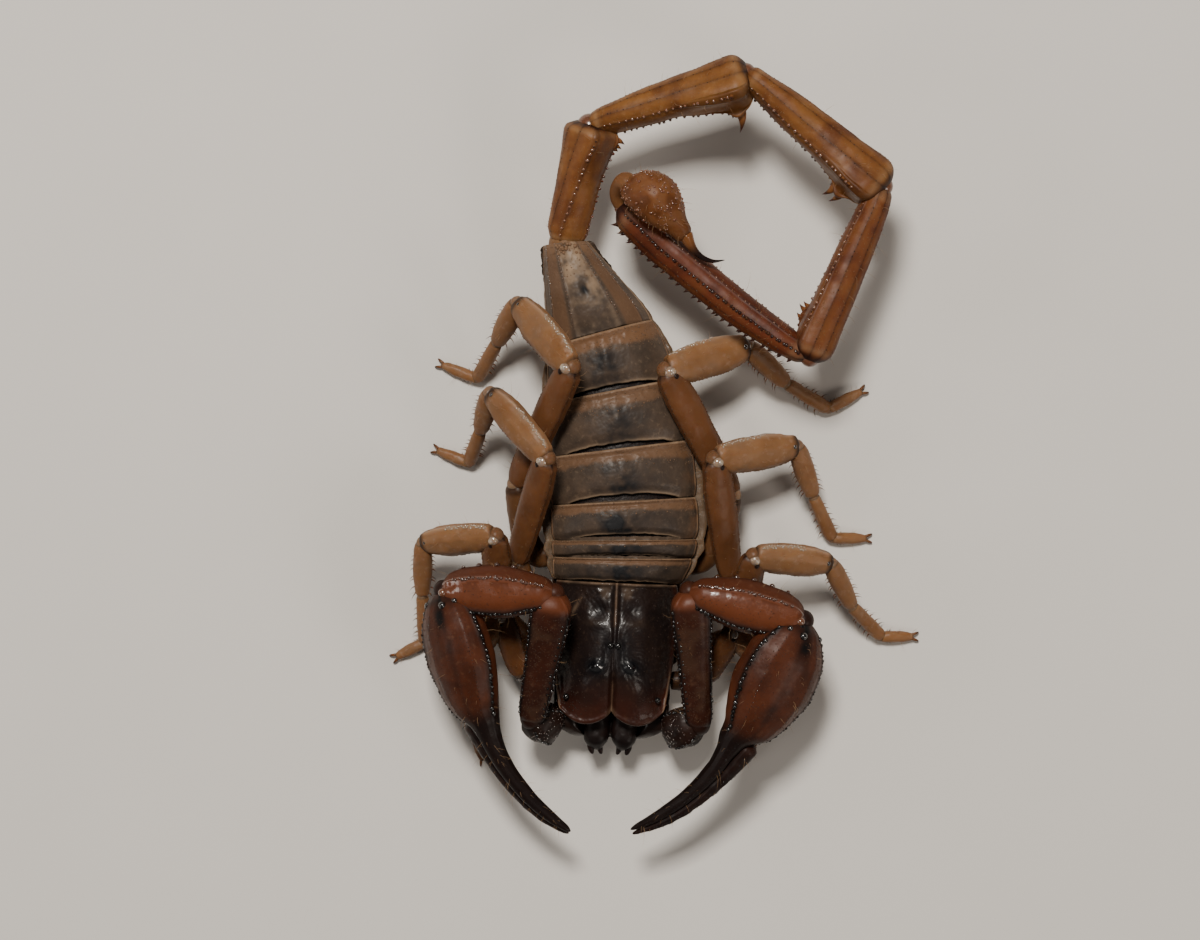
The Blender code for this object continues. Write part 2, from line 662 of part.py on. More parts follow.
def build_tail():
    """The five keeled tail segments."""
    places = tail_places()
    runs = [unit(b - a) for a, b in zip(places, places[1:])]
    rear = direction(SECTION_HEADINGS[-1][1])
    cuts = [rear] + [joint_plane(a, b) for a, b in zip(runs, runs[1:])] + [runs[-1]]
    outline = keeled_outline()
    mirrored = len(outline) - SPINE_KEEL
    for k, (_, _, _, width, depths, _) in enumerate(TAIL_SEGMENTS):
        front, middle, back = depths
        bow = TAIL_BOW[k]
        sections = [
            (0, 0.0, width * TAIL_END_TAPER, front * 0.86, 0),
            (0, 0.1, width * 0.96, front, 0, -0.4 * bow),
            (0, 0.4, width * 0.98, middle, 0, -bow),
            (0, 0.72, width, (middle + back) / 2, 0, -0.9 * bow),
            (0, 0.9, width, back, 0, -0.3 * bow),
            (0, 1.0, width * TAIL_END_TAPER, back * TAIL_END_TAPER * 0.9, 0),
        ]

        def thin(stretch, part, segment=k):
            return back_of_tail(segment, part)

        rings = limb_rings(places[k : k + 2], sections, thin, outline, cuts[k], cuts[k + 1])
        centre = sum(rings[4]) / len(rings[4])
        for spine in (SPINE_KEEL, mirrored):
            rings[4][spine] = centre + (rings[4][spine] - centre) * SPINE_LIFT[k]
        loft("metasoma_" + str(k + 1), rings, "tail")


def fold_frame():
    """The last segment's direction, the way from it to the folded bulb, and their normal."""
    _, heading, pitch, *_ = TAIL_SEGMENTS[-1]
    onward = direction(heading, pitch)
    roll = math.radians(FOLD_ROLL)
    away = unit(math.cos(roll) * direction(heading - 90) + math.sin(roll) * UP)
    return onward, away, unit(np.cross(onward, away))


def sting_places():
    """The bulb's root, and the sting's pieces from the bulb's neck to its point."""
    onward, away, _ = fold_frame()
    root = tail_places()[-1] + BULB_ROOT[0] * onward + BULB_ROOT[1] * away
    neck = root + BULB_LENGTH * direction(BULB_HEADING, BULB_PITCH)
    return root, walk(neck, [(STING_PIECE, heading, STING_PITCH) for heading in STING_HEADINGS])


def build_sting():
    """The folded sting bulb and the sting that leaves its neck."""
    onward, away, level = fold_frame()
    joint = tail_places()[-1]
    root, places = sting_places()
    run = unit(places[0] - root)
    outline = oval(12, 1.0)
    rings = []
    for (ahead_of, off, half), inner in zip(STALK, (away, -onward)):
        centre = joint + ahead_of * onward + off * away
        rings.append([centre + half * (a * inner + b * level) for a, b in outline])
    for part, half, shift in BULB_SECTIONS[:-1]:
        centre = root + run * BULB_LENGTH * part + away * shift
        rings.append([centre + half * (b * level - a * away) for a, b in outline])
    neck_plane = joint_plane(run, unit(places[1] - places[0]))
    half = BULB_SECTIONS[-1][1]

    def thin(stretch, part):
        return -away

    turned = [(-b, a) for a, b in outline]
    last = limb_rings([root, places[0]], [(0, 1.0, half, half)], thin, turned, run, neck_plane)[0]
    rings.append(last)
    loft("telson", rings, "tail")
    sections = [(k, 0.0, half, half) for k, half in enumerate(STING_HALF_SIZES[:-1])]
    sections.append((len(places) - 2, 1.0, STING_HALF_SIZES[-1], STING_HALF_SIZES[-1]))
    point = unit(places[-1] - places[-2])
    loft("sting", limb_rings(places, sections, thin, oval(8, 1.0), neck_plane, point), "sting")


# ---------------------------------------------------------------- the whole animal
def centre_on_floor():
    """Moves the animal so that the world's origin lies on the floor under its middle."""
    animal = bpy.data.objects[ANIMAL]
    corners = [piece.location + vertex.co for piece in animal.children for vertex in piece.data.vertices]
    low, high = np.min(corners, axis=0), np.max(corners, axis=0)
    middle = (low + high) / 2
    animal.location = (-middle[0], -middle[1], -low[2])


def main():
    """Builds every solid of the model in an empty scene."""
    for thing in list(bpy.data.objects):
        bpy.data.objects.remove(thing, do_unlink=True)
    collection = bpy.data.collections.new(ANIMAL)
    bpy.context.scene.collection.children.link(collection)
    collection.objects.link(bpy.data.objects.new(ANIMAL, None))
    build_shield()
    build_back_plates()
    build_belly()
    build_hips()
    build_jaws_and_combs()
    build_tail()
    build_sting()
    for side in ("l", "r"):
        build_arm(side)
    for leg in LEG_POSES:
        build_leg(leg)
    centre_on_floor()


main()
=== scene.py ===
# %% [markdown]
# # A desert scorpion, life size
# This lesson dresses a plain CAD model of a big burrowing scorpion in its real skin. The CAD
# gives the size, the pose and the place of every plate and limb. Here each of those solids gets
# a finer shape that stands in for it: glossy shell, beaded keels, thorns, soft joints and hairs.

import math

import bpy
import numpy as np
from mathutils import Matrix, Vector


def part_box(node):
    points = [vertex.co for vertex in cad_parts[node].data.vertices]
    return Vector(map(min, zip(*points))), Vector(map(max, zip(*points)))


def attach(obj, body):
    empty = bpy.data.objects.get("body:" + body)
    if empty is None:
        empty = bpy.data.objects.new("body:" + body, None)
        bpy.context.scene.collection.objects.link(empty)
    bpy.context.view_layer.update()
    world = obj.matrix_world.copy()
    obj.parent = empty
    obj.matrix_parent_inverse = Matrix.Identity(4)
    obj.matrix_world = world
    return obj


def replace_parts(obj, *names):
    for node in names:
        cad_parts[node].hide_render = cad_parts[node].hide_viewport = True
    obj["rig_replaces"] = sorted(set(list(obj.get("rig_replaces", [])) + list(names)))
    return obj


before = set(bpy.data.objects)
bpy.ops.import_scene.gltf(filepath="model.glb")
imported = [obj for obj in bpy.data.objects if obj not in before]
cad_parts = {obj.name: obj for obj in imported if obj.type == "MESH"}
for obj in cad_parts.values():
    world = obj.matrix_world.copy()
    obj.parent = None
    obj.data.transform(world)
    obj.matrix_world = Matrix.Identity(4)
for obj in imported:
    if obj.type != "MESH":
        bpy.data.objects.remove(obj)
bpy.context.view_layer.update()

# %% [markdown]
# ## Millimetres, headings and the animal's own frame
# Everything is worked out in millimetres from the middle of the head shield's rear edge, as the
# CAD model was. A heading is an angle in plan from +X towards +Y, a pitch is the climb above
# the floor. The two middle eyes of the CAD model tell where that frame lies in the world.

# %% Directions and walks
UP = np.array([0.0, 0.0, 1.0])
MM = 0.001  # a millimetre in metres
MM_PER_METRE = 1000
# The letter of each side of the animal, and the sign of what lies out to that side.
SIDES = (("l", 1), ("r", -1))
SHIELD_HEADING = 87.5  # of the line from the shield's front to its rear
# How far each eye lies out from the midline, forward and up, and its radius.
MEDIAN_EYE = (0.28, 4.8, 8.36, 0.26)
SIDE_EYE = (3.55, 9.0, 6.32, 0.24)


def unit(vector):
    """Vectors of length one: each divided by its own length."""
    return vector / (np.linalg.norm(vector, axis=-1, keepdims=True) + 1e-12)


def direction(heading, pitch=0.0):
    """Unit vectors with these headings and pitches."""
    turn, climb = np.radians(heading), np.radians(pitch)
    parts = (np.cos(climb) * np.cos(turn), np.cos(climb) * np.sin(turn), np.sin(climb))
    return np.stack(np.broadcast_arrays(*parts), axis=-1)


def walk(start, moves):
    """The places reached from start by moves of (length, heading, pitch), start included."""
    places = [np.array(start, dtype=float)]
    for length, heading, pitch in moves:
        places.append(places[-1] + length * direction(heading, pitch))
    return np.array(places)


def ahead(out, forward, height):
    """Places from the middle of the shield's rear edge: out to the left, forward, and up."""
    out, forward, height = np.broadcast_arrays(out, forward, height)
    plan = out[..., None] * direction(SHIELD_HEADING - 90) - forward[..., None] * direction(SHIELD_HEADING)
    return plan + height[..., None] * UP


eyes = [np.array(corner) * MM_PER_METRE for side in "lr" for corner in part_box("eye_median_" + side)]
eye_low, eye_high = np.min(eyes, axis=0), np.max(eyes, axis=0)
eye_middle = np.array([*(eye_low + eye_high)[:2] / 2, eye_high[2]])
SHIFT = eye_middle - ahead(0.0, MEDIAN_EYE[1], MEDIAN_EYE[2] + MEDIAN_EYE[3])
print("the animal's frame lies at", np.round(SHIFT, 2), "mm")

# %% [markdown]
# ## Smooth curves, noise and soft steps
# The CAD joins the rows of its tables with straight lines. A living shell has no such corners,
# so the same tables are joined here by cubic curves. Value noise, random numbers on a lattice
# with smooth blends between them, gives the small unevenness that every real surface has.

# %% Curves through tables
def curve(table, at, free=False):
    """A table's columns at values of its first column, joined by cubic pieces.

    Each row's slope is the harmonic mean of the slopes beside it, and nought at a peak, so the
    curve never overshoots. With free it is their plain mean, which suits a path in space.
    """
    table = np.array(table, dtype=float)
    x, y = table[:, 0], table[:, 1:]
    slope = np.diff(y, axis=0) / np.diff(x)[:, None]
    before, after = slope[:-1], slope[1:]
    if free:
        inner = (before + after) / 2
    else:
        harmonic = 2 * before * after / np.where(before * after > 0, before + after, 1.0)
        inner = np.where(before * after > 0, harmonic, 0.0)
    tangent = np.vstack([slope[:1], inner, slope[-1:]])
    at = np.clip(np.asarray(at, dtype=float), x[0], x[-1])
    k = np.clip(np.searchsorted(x, at, side="right") - 1, 0, len(x) - 2)
    width = (x[k + 1] - x[k])[..., None]
    t = (at - x[k])[..., None] / width
    rise = t * t * (3 - 2 * t)
    bend = t * (1 - t) * ((1 - t) * tangent[k] - t * tangent[k + 1]) * width
    value = y[k] * (1 - rise) + y[k + 1] * rise + bend
    return value[..., 0] if value.shape[-1] == 1 else value


def follow(places, part):
    """A smooth path through places: the points at parts of its length, and its directions."""
    places = np.array(places)
    steps = np.linalg.norm(np.diff(places, axis=0), axis=1)
    length = np.concatenate([[0.0], np.cumsum(steps)])
    table = np.column_stack([length, places])
    at, reach = np.asarray(part) * length[-1], 0.01 * length[-1]
    onward = curve(table, at + reach, free=True) - curve(table, at - reach, free=True)
    return curve(table, at, free=True), unit(onward)


def step(low, high, value):
    """A soft step: 0 below low, 1 above high, and a smooth S between them."""
    t = np.clip((value - low) / (high - low), 0.0, 1.0)
    return t * t * (3 - 2 * t)


def hump(middle, width, value):
    """A soft bump: 1 at the middle, falling off as the square of the distance grows."""
    return np.exp(-(((value - middle) / width) ** 2))


LATTICE = 32  # how many cells of noise there are along an axis before it repeats
NEXT_SEED = 31


def noise(points, size, seed, octaves=1):
    """Smooth noise about nought, from random values from -1 to 1 on a cubic lattice.

    The lattice's cells have that size in mm. Each further octave adds noise of half the cell
    size and half the height of the one before.
    """
    total, height = 0.0, 1.0
    for octave in range(octaves):
        rng = np.random.default_rng(seed + NEXT_SEED * octave)
        lattice = rng.uniform(-1, 1, (LATTICE, LATTICE, LATTICE))
        cell = np.asarray(points) / size
        low = np.floor(cell).astype(int)
        t = cell - low
        t = t * t * (3 - 2 * t)
        value = 0.0
        for corner in range(8):
            bits = np.array([corner & 1, corner >> 1 & 1, corner >> 2 & 1])
            weight = np.prod(np.where(bits, t, 1 - t), axis=-1)
            i, j, k = np.moveaxis((low + bits) % LATTICE, -1, 0)
            value = value + weight * lattice[i, j, k]
        total = total + value * height
        size, height = size / 2, height / 2
    return total


# %% [markdown]
# ## Skins, beads, thorns and hairs
# A limb or a plate is a grid of points: its rows run along it and its columns round it. The
# grid is closed at both ends and becomes one shell. Beads and thorns are small shells of a few
# faces each, set along the keels in their hundreds. A piece collects all of its shells.

# %% Surfaces
class Surface:
    """A grid of points with its outward normals. A closed grid's columns run right round."""

    def __init__(self, grid, closed=True):
        self.grid, self.closed = grid, closed
        if closed:
            wide = np.concatenate([grid[:, -1:], grid, grid[:, :1]], axis=1)
            around = wide[:, 2:] - wide[:, :-2]
        else:
            around = np.gradient(grid, axis=1)
        normal = unit(np.cross(around, np.gradient(grid, axis=0)))
        away = grid - grid.mean(axis=1, keepdims=True) if closed else np.broadcast_to(UP, grid.shape)
        self.normal = normal * np.sign(np.sum(normal * away))

    def raised(self, height):
        """The same surface moved along its normals by a height at every point."""
        return Surface(self.grid + self.normal * height[..., None], self.closed)

    def at(self, part, turn):
        """Places and normals at parts of its length and of its way round, blended from the grid."""
        part, turn = np.broadcast_arrays(np.asarray(part, float), np.asarray(turn, float))
        rows, columns = self.grid.shape[:2]
        row = np.clip(part, 0, 1) * (rows - 1)
        column = (turn % 1.0) * columns if self.closed else np.clip(turn, 0, 1) * (columns - 1)
        r, c = np.minimum(row.astype(int), rows - 2), column.astype(int)
        c = c % columns if self.closed else np.minimum(c, columns - 2)
        after = (c + 1) % columns if self.closed else c + 1
        a, b = (row - r)[..., None], (column - np.floor(column))[..., None]
        found = []
        for values in (self.grid, self.normal):
            near = values[r, c] * (1 - b) + values[r, after] * b
            far = values[r + 1, c] * (1 - b) + values[r + 1, after] * b
            found.append(near * (1 - a) + far * a)
        return found[0], unit(found[1])


# %% Pieces made of closed shells
def fan_faces(rows, columns):
    """Quads over a closed grid and the two fans that close it round two added end points."""
    r, c = np.meshgrid(np.arange(rows - 1), np.arange(columns), indexing="ij")
    here, after = r * columns + c, r * columns + (c + 1) % columns
    quads = np.stack([here, after, after + columns, here + columns], axis=-1).reshape(-1, 4)
    k = np.arange(columns)
    first, last = rows * columns, rows * columns + 1
    base = (rows - 1) * columns
    start = np.stack([np.full(columns, first), (k + 1) % columns, k], axis=-1)
    end = np.stack([np.full(columns, last), base + k, base + (k + 1) % columns], axis=-1)
    return quads, np.concatenate([start, end])


def zip_faces(rows, columns):
    """Quads over a closed grid whose flat end rings are zipped shut, column against column."""
    quads, _ = fan_faces(rows, columns)
    k = np.arange(columns // 2 - 1)
    start = np.stack([columns - 1 - k, columns - 2 - k, k + 1, k], axis=-1)
    base = (rows - 1) * columns
    end = base + np.stack([k, k + 1, columns - 2 - k, columns - 1 - k], axis=-1)
    return np.concatenate([quads, start, end]), np.zeros((0, 3), int)


def volume(points, quads, triangles):
    """The volume inside closed faces: a sixth of the sum of each triangle's triple product."""
    halves = [triangles, quads[:, [0, 1, 2]], quads[:, [0, 2, 3]]]
    a, b, c = np.moveaxis(points[np.concatenate(halves)], 1, 0)
    return float(np.sum(a * np.cross(b, c)) / 6)


def paint(dark, pale, warm):
    """Marks for the material: how dark, how pale and how warm the skin is, each from 0 to 2.

    Up to one they are shares of a colour. Dark and warm marks well over one add polish.
    """
    return np.clip(np.stack(np.broadcast_arrays(dark, pale, warm), axis=-1).astype(float), 0, 2)


# %% Balls and bent cones
BEAD_COLUMNS = 7
THORN_COLUMNS = 6
BALL_ROWS, BALL_COLUMNS = 13, 22
SLANT = np.array([0.31, 0.87, 0.38])  # a direction that no normal has exactly


def ball_grid(polar, columns):
    """Rings of a ball of radius one, at angles from its top."""
    polar, turn = polar[:, None], (np.arange(columns) * 2 * math.pi / columns)[None, :]
    sine, cosine = np.sin(polar), np.cos(polar)
    return np.stack([sine * np.cos(turn), sine * np.sin(turn), cosine + 0 * turn], axis=-1)


def square_to(normals):
    """Two directions for each normal, square to it and to each other."""
    side = unit(np.cross(normals, SLANT))
    return side, np.cross(normals, side)


def bent_cones(places, normals, lean, lengths, widths, parts, shares, columns, root):
    """The points of bent cones, as (cones, points, 3): the rings of each, then its two ends.

    A cone's axis is its length * (s * normal + s * |s| * lean). Round it, at each s of parts,
    stands a ring of points whose half width is a share of the cone's. The ends lie on the axis
    where s is root, which is below nought and so inside the skin, and where s is one.
    """
    side, other = square_to(normals)
    turn = np.arange(columns) * 2 * math.pi / columns
    ring = np.cos(turn)[:, None] * side[:, None] + np.sin(turn)[:, None] * other[:, None]
    lengths = np.broadcast_to(lengths, len(places))[:, None, None]
    widths = np.broadcast_to(widths, len(places))[:, None, None, None]
    lean = np.broadcast_to(lean, normals.shape)

    def axis(s):
        return lengths * (s[:, None] * normals[:, None] + (np.abs(s) * s)[:, None] * lean[:, None])

    rings = places[:, None, None] + axis(parts)[:, :, None] + widths * shares[:, None, None] * ring[:, None]
    ends = places[:, None] + axis(np.array([root, 1.0]))
    return np.concatenate([rings.reshape(len(places), -1, 3), ends], axis=1)


# %% The piece that collects them
class Piece:
    """One piece in the making: shells of points in mm, their faces and their paint marks."""

    def __init__(self):
        self.points, self.marks, self.quads, self.triangles, self.count = [], [], [], [], 0

    def add(self, points, quads, triangles, marks):
        """Adds faces and their points, with one mark for each point or one for all."""
        self.quads.append(quads + self.count)
        self.triangles.append(triangles + self.count)
        self.points.append(points)
        self.marks.append(np.broadcast_to(np.asarray(marks, float), (len(points), 3)))
        self.count += len(points)

    def shell(self, grid, marks, zipped=False):
        """Adds a closed grid. Its faces are turned round if its volume comes out negative.

        Its ends are closed by fans or, if it's to be zipped, by joining the columns in pairs.
        """
        rows, columns = grid.shape[:2]
        marks = np.broadcast_to(np.asarray(marks, float), (rows, columns, 3)).reshape(-1, 3)
        points = grid.reshape(-1, 3)
        quads, triangles = zip_faces(rows, columns) if zipped else fan_faces(rows, columns)
        if not zipped:
            points = np.concatenate([points, [grid[0].mean(axis=0), grid[-1].mean(axis=0)]])
            marks = np.concatenate([marks, [marks[0], marks[-1]]])
        if volume(points - points.mean(axis=0), quads, triangles) < 0:
            quads, triangles = quads[:, ::-1], triangles[:, ::-1]
        self.add(points, quads, triangles, marks)

    def skin(self, limb, dark, pale, warm):
        """Adds a limb's whole surface as a shell."""
        self.shell(limb.surface.grid, paint(dark, pale, warm))

    def copies(self, template, places, marks):
        """Adds one closed template shell at each place: places is (copies, points, 3).

        A copy that would reach under the floor is left out, and which ones stay is returned.
        Marks are one for all, one for each copy, or (1, points, 3).
        """
        quads, triangles = template
        over = places[..., 2].min(axis=1) > 0.01
        marks = np.asarray(marks, float)
        marks = marks[over, None] if marks.ndim == 2 else marks
        places = places[over]
        number, size = places.shape[:2]
        if volume(places[0] - places[0].mean(axis=0), quads, triangles) < 0:
            quads, triangles = quads[:, ::-1], triangles[:, ::-1]
        starts = (np.arange(number) * size)[:, None, None]
        quads, triangles = (quads + starts).reshape(-1, 4), (triangles + starts).reshape(-1, 3)
        marks = np.broadcast_to(marks, (number, size, 3)).reshape(-1, 3)
        self.add(places.reshape(-1, 3), quads, triangles, marks)
        return over

    def beads(self, places, normals, sizes, marks, tall):
        """Adds low domes: a ball's top and three rings, with their heights times tall."""
        shape = ball_grid(np.radians([28, 62, 100]), BEAD_COLUMNS).reshape(-1, 3)
        shape = np.concatenate([shape, [[0, 0, 1], [0, 0, -0.6]]])
        side, other = square_to(normals)
        sizes = np.broadcast_to(sizes, len(places))[:, None, None]
        spread = shape[:, 0, None] * side[:, None] + shape[:, 1, None] * other[:, None]
        lift = shape[:, 2, None] * normals[:, None] * tall
        self.copies(fan_faces(3, BEAD_COLUMNS), places[:, None] + sizes * (spread + lift), marks)

    def thorns(self, places, normals, lean, lengths, widths, marks, dark_tip=(0.15, 0.6)):
        """Adds bent cones whose half width falls roughly as the square root of what is left of
        the length, and which darken over the two parts of the length that dark_tip gives."""
        parts, root = np.array([-0.15, 0.0, 0.3, 0.6, 0.85]), -0.2
        shares = np.sqrt(np.clip(1 - parts, 0, 1)) * np.array([1.0, 1.0, 0.9, 0.72, 0.45])
        points = bent_cones(places, normals, lean, lengths, widths, parts, shares, THORN_COLUMNS, root)
        reach = np.concatenate([np.repeat(parts, THORN_COLUMNS), [root, 1.0]])
        dark = step(*dark_tip, reach)[:, None] * np.array([1.0, 0, 0])
        marks = np.clip(np.asarray(marks, float) * (1 - dark[:, :1]) + dark, 0, 1)[None]
        self.copies(fan_faces(len(parts), THORN_COLUMNS), points, marks)

    def ball(self, place, radius, marks=(0, 0, 0), squash=(1.0, 1.0, 1.0)):
        """Adds one smooth ball, for a soft joint or a large knob."""
        shape = ball_grid(np.linspace(0.12, math.pi - 0.12, BALL_ROWS), BALL_COLUMNS)
        self.shell(place + radius * np.array(squash) * shape, marks)


# %% Turn a piece into an object
PIECES = []


def new_mesh(name, points, quads, triangles):
    """A mesh from whole arrays of points and faces, in metres in the world's frame."""
    mesh = bpy.data.meshes.new(name)
    corners = np.concatenate([quads.ravel(), triangles.ravel()])
    sizes = np.concatenate([np.full(len(quads), 4), np.full(len(triangles), 3)])
    mesh.vertices.add(len(points))
    mesh.loops.add(len(corners))
    mesh.polygons.add(len(sizes))
    mesh.vertices.foreach_set("co", ((points + SHIFT) * MM).astype(np.float32).ravel())
    mesh.loops.foreach_set("vertex_index", corners.astype(np.int32))
    starts = np.concatenate([[0], np.cumsum(sizes)[:-1]])
    mesh.polygons.foreach_set("loop_start", starts.astype(np.int32))
    mesh.update(calc_edges=True)
    mesh.validate()
    mesh.shade_smooth()
    return mesh


def place_piece(piece, name, material, node=None):
    """Makes the piece's object and gives it its finish.

    It stands for the CAD node of its own name or of the name given, or for none where that is
    empty.
    """
    node = name if node is None else node
    points, marks = np.concatenate(piece.points), np.concatenate(piece.marks)
    mesh = new_mesh(name, points, np.concatenate(piece.quads), np.concatenate(piece.triangles))
    layer = mesh.attributes.new("marks", "FLOAT_VECTOR", "POINT")
    layer.data.foreach_set("vector", np.clip(marks, 0, 2).astype(np.float32).ravel())
    mesh.materials.append(material)
    thing = bpy.data.objects.new(name, mesh)
    bpy.context.scene.collection.objects.link(thing)
    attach(thing, "root")
    if node:
        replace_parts(thing, node)
    PIECES.append(thing)
    return thing


# %% [markdown]
# ## Carrying an outline along a limb
# Every limb is an outline carried along a path. Its ends are rounded off like the end of a
# finger, so that two neighbours can sit inside each other at a joint, as the tubes of a real
# arthropod do. Keels are narrow ridges of the outline that run the length of the limb.

# %% Sweeps
CAP_ROWS = 9


def stations(rows, start, end):
    """Parts of a limb's length, crowded over the round caps at its start and end."""
    turn = np.linspace(0.05, math.pi / 2, CAP_ROWS)
    head = start * (1 - np.cos(turn))
    tail = 1 - end * (1 - np.cos(turn[::-1]))
    return np.concatenate([head, np.linspace(start, 1 - end, rows)[1:-1], tail])


def rounding(part, start, end):
    """The share of its full section that a limb has: a quarter circle's rise over each cap."""
    a, b = np.clip(part / start, 0, 1), np.clip((1 - part) / end, 0, 1)
    return np.sqrt(1 - (1 - a) ** 2) * np.sqrt(1 - (1 - b) ** 2)


def keel_outline(angle, keels, squareness, width):
    """How far a section reaches to its side and up at angles from its side, keels included.

    The outline is an oval pulled towards a square as squareness falls below 1. A keel is
    (angle, height): a bell-shaped ridge of that share of the radius, width degrees wide.
    """
    cosine, sine = np.cos(angle), np.sin(angle)
    across = np.sign(cosine) * np.abs(cosine) ** squareness
    along = np.sign(sine) * np.abs(sine) ** squareness
    ridge = 0.0 * angle
    for middle, height in keels:
        apart = (np.degrees(angle) - middle + 180) % 360 - 180
        ridge = ridge + height * hump(0, width, apart)
    return across * (1 + ridge), along * (1 + ridge)


class Limb:
    """A surface swept along a path, with the part of its length and the angle at each point."""

    def __init__(self, places, sizes, up, keels=(), *, caps, rows, columns=64, squareness=0.9,
                 mirror=1, extend=(0.0, 0.0), keel_width=9.0):
        """Sizes are rows of (part of the length, half width, half thickness), and may go on
        with how far the section is shifted to its side and up. Caps are the parts of the length
        over which the ends are rounded, and extend is what is added beyond both ends."""
        places = np.array(places, float)
        places[0] = places[0] - unit(places[1] - places[0]) * extend[0]
        places[-1] = places[-1] + unit(places[-1] - places[-2]) * extend[1]
        part = stations(rows, *caps)
        centre, run = follow(places, part)
        sizes = curve(sizes, part)
        up = np.broadcast_to(up(part) if callable(up) else up, run.shape)
        up = unit(up - run * np.sum(up * run, axis=-1, keepdims=True))
        side = np.cross(up, run) * mirror
        angle = (np.arange(columns) * 2 * math.pi / columns)[None, :]
        across, along = keel_outline(angle, keels, squareness, keel_width)
        full = rounding(part, *caps)[:, None]
        shift = sizes[:, 2] if sizes.shape[1] > 2 else 0 * part
        lift = sizes[:, 3] if sizes.shape[1] > 3 else 0 * part
        out = across * sizes[:, 0, None] * full + shift[:, None]
        high = along * sizes[:, 1, None] * full + lift[:, None]
        grid = centre[:, None] + out[..., None] * side[:, None] + high[..., None] * up[:, None]
        self.part = np.broadcast_to(part[:, None], out.shape)
        self.angle = np.broadcast_to(np.degrees(angle), out.shape)
        self.rows_part = part
        self.surface = Surface(grid)

    def near(self, angle, width):
        """1 near an angle of the section, falling off over width degrees."""
        return hump(0, width, (self.angle - angle + 180) % 360 - 180)

    def raise_by(self, height):
        """Lifts the surface by a height at every point."""
        self.surface = self.surface.raised(height)

    def roughen(self, height, size, seed):
        """Lifts the surface by noise of a height and a size in mm."""
        self.raise_by(height * noise(self.surface.grid, size, seed, 2))

    def cloud(self, size, seed, octaves=2):
        """Noise over the surface, for its marks."""
        return noise(self.surface.grid, size, seed, octaves)

    def at(self, part, angle):
        """Places and normals at parts of its length and angles of its section."""
        row = np.interp(part, self.rows_part, np.linspace(0, 1, len(self.rows_part)))
        return self.surface.at(row, np.asarray(angle, float) / 360)


def scatter(count, low, high, seed, jitter=0.35):
    """Places along a row: even steps from low to high, each moved by a random share of a step."""
    moved = np.arange(count) + np.random.default_rng(seed).uniform(-jitter, jitter, count)
    return low + (high - low) * (moved + 0.5) / count


# %% [markdown]
# ## Scorpion cuticle
# All of the shell is one kind of finish: hard, waxy and glossy, never quite one colour. Clouds
# of darker and lighter pigment, a fine grain in the bump and patches of duller wear are all
# procedural. The marks that each piece carries push its colour towards dark, pale or warm, and
# dark or warm marks well over one polish the shell as well.

# %% The material
def link(tree, value, socket):
    """Joins a node's output to a socket, or sets the socket to a plain value."""
    if isinstance(value, bpy.types.NodeSocket):
        tree.links.new(value, socket)
    else:
        socket.default_value = value


def mix(tree, factor, one, two):
    """A colour between two others."""
    node = tree.nodes.new("ShaderNodeMix")
    node.data_type = "RGBA"
    link(tree, factor, node.inputs["Factor"])
    for value, socket in ((one, node.inputs[6]), (two, node.inputs[7])):
        link(tree, (*value, 1.0) if isinstance(value, tuple) else value, socket)
    return node.outputs[2]


def remap(tree, value, low, high, start=0.0, end=1.0):
    """A value's range from low to high spread over another range."""
    node = tree.nodes.new("ShaderNodeMapRange")
    limits = (low, high, start, end)
    link(tree, value, node.inputs["Value"])
    for name, limit in zip(("From Min", "From Max", "To Min", "To Max"), limits):
        node.inputs[name].default_value = limit
    return node.outputs["Result"]


def calculate(tree, kind, one, two):
    """A sum, a product or the larger of two values."""
    node = tree.nodes.new("ShaderNodeMath")
    node.operation = kind
    link(tree, one, node.inputs[0])
    link(tree, two, node.inputs[1])
    return node.outputs[0]


def clouds(tree, place, scale, detail=4.0, rough=0.6):
    """Noise over the piece's own coordinates, scale being its waves in a metre."""
    node = tree.nodes.new("ShaderNodeTexNoise")
    tree.links.new(place, node.inputs["Vector"])
    node.inputs["Scale"].default_value = scale
    node.inputs["Detail"].default_value = detail
    node.inputs["Roughness"].default_value = rough
    return node.outputs["Fac"]


# Waves in a metre of the broad clouds and of the worn patches.
CLOUD_WAVES, WORN_WAVES = 420.0, 900.0
# The marks at which the polish begins and is full.
DARK_POLISH = (1.02, 1.25)
WARM_POLISH = (1.4, 1.9)
GRAIN_DEPTH = 0.00004
SCATTER_DEPTH = 0.0008


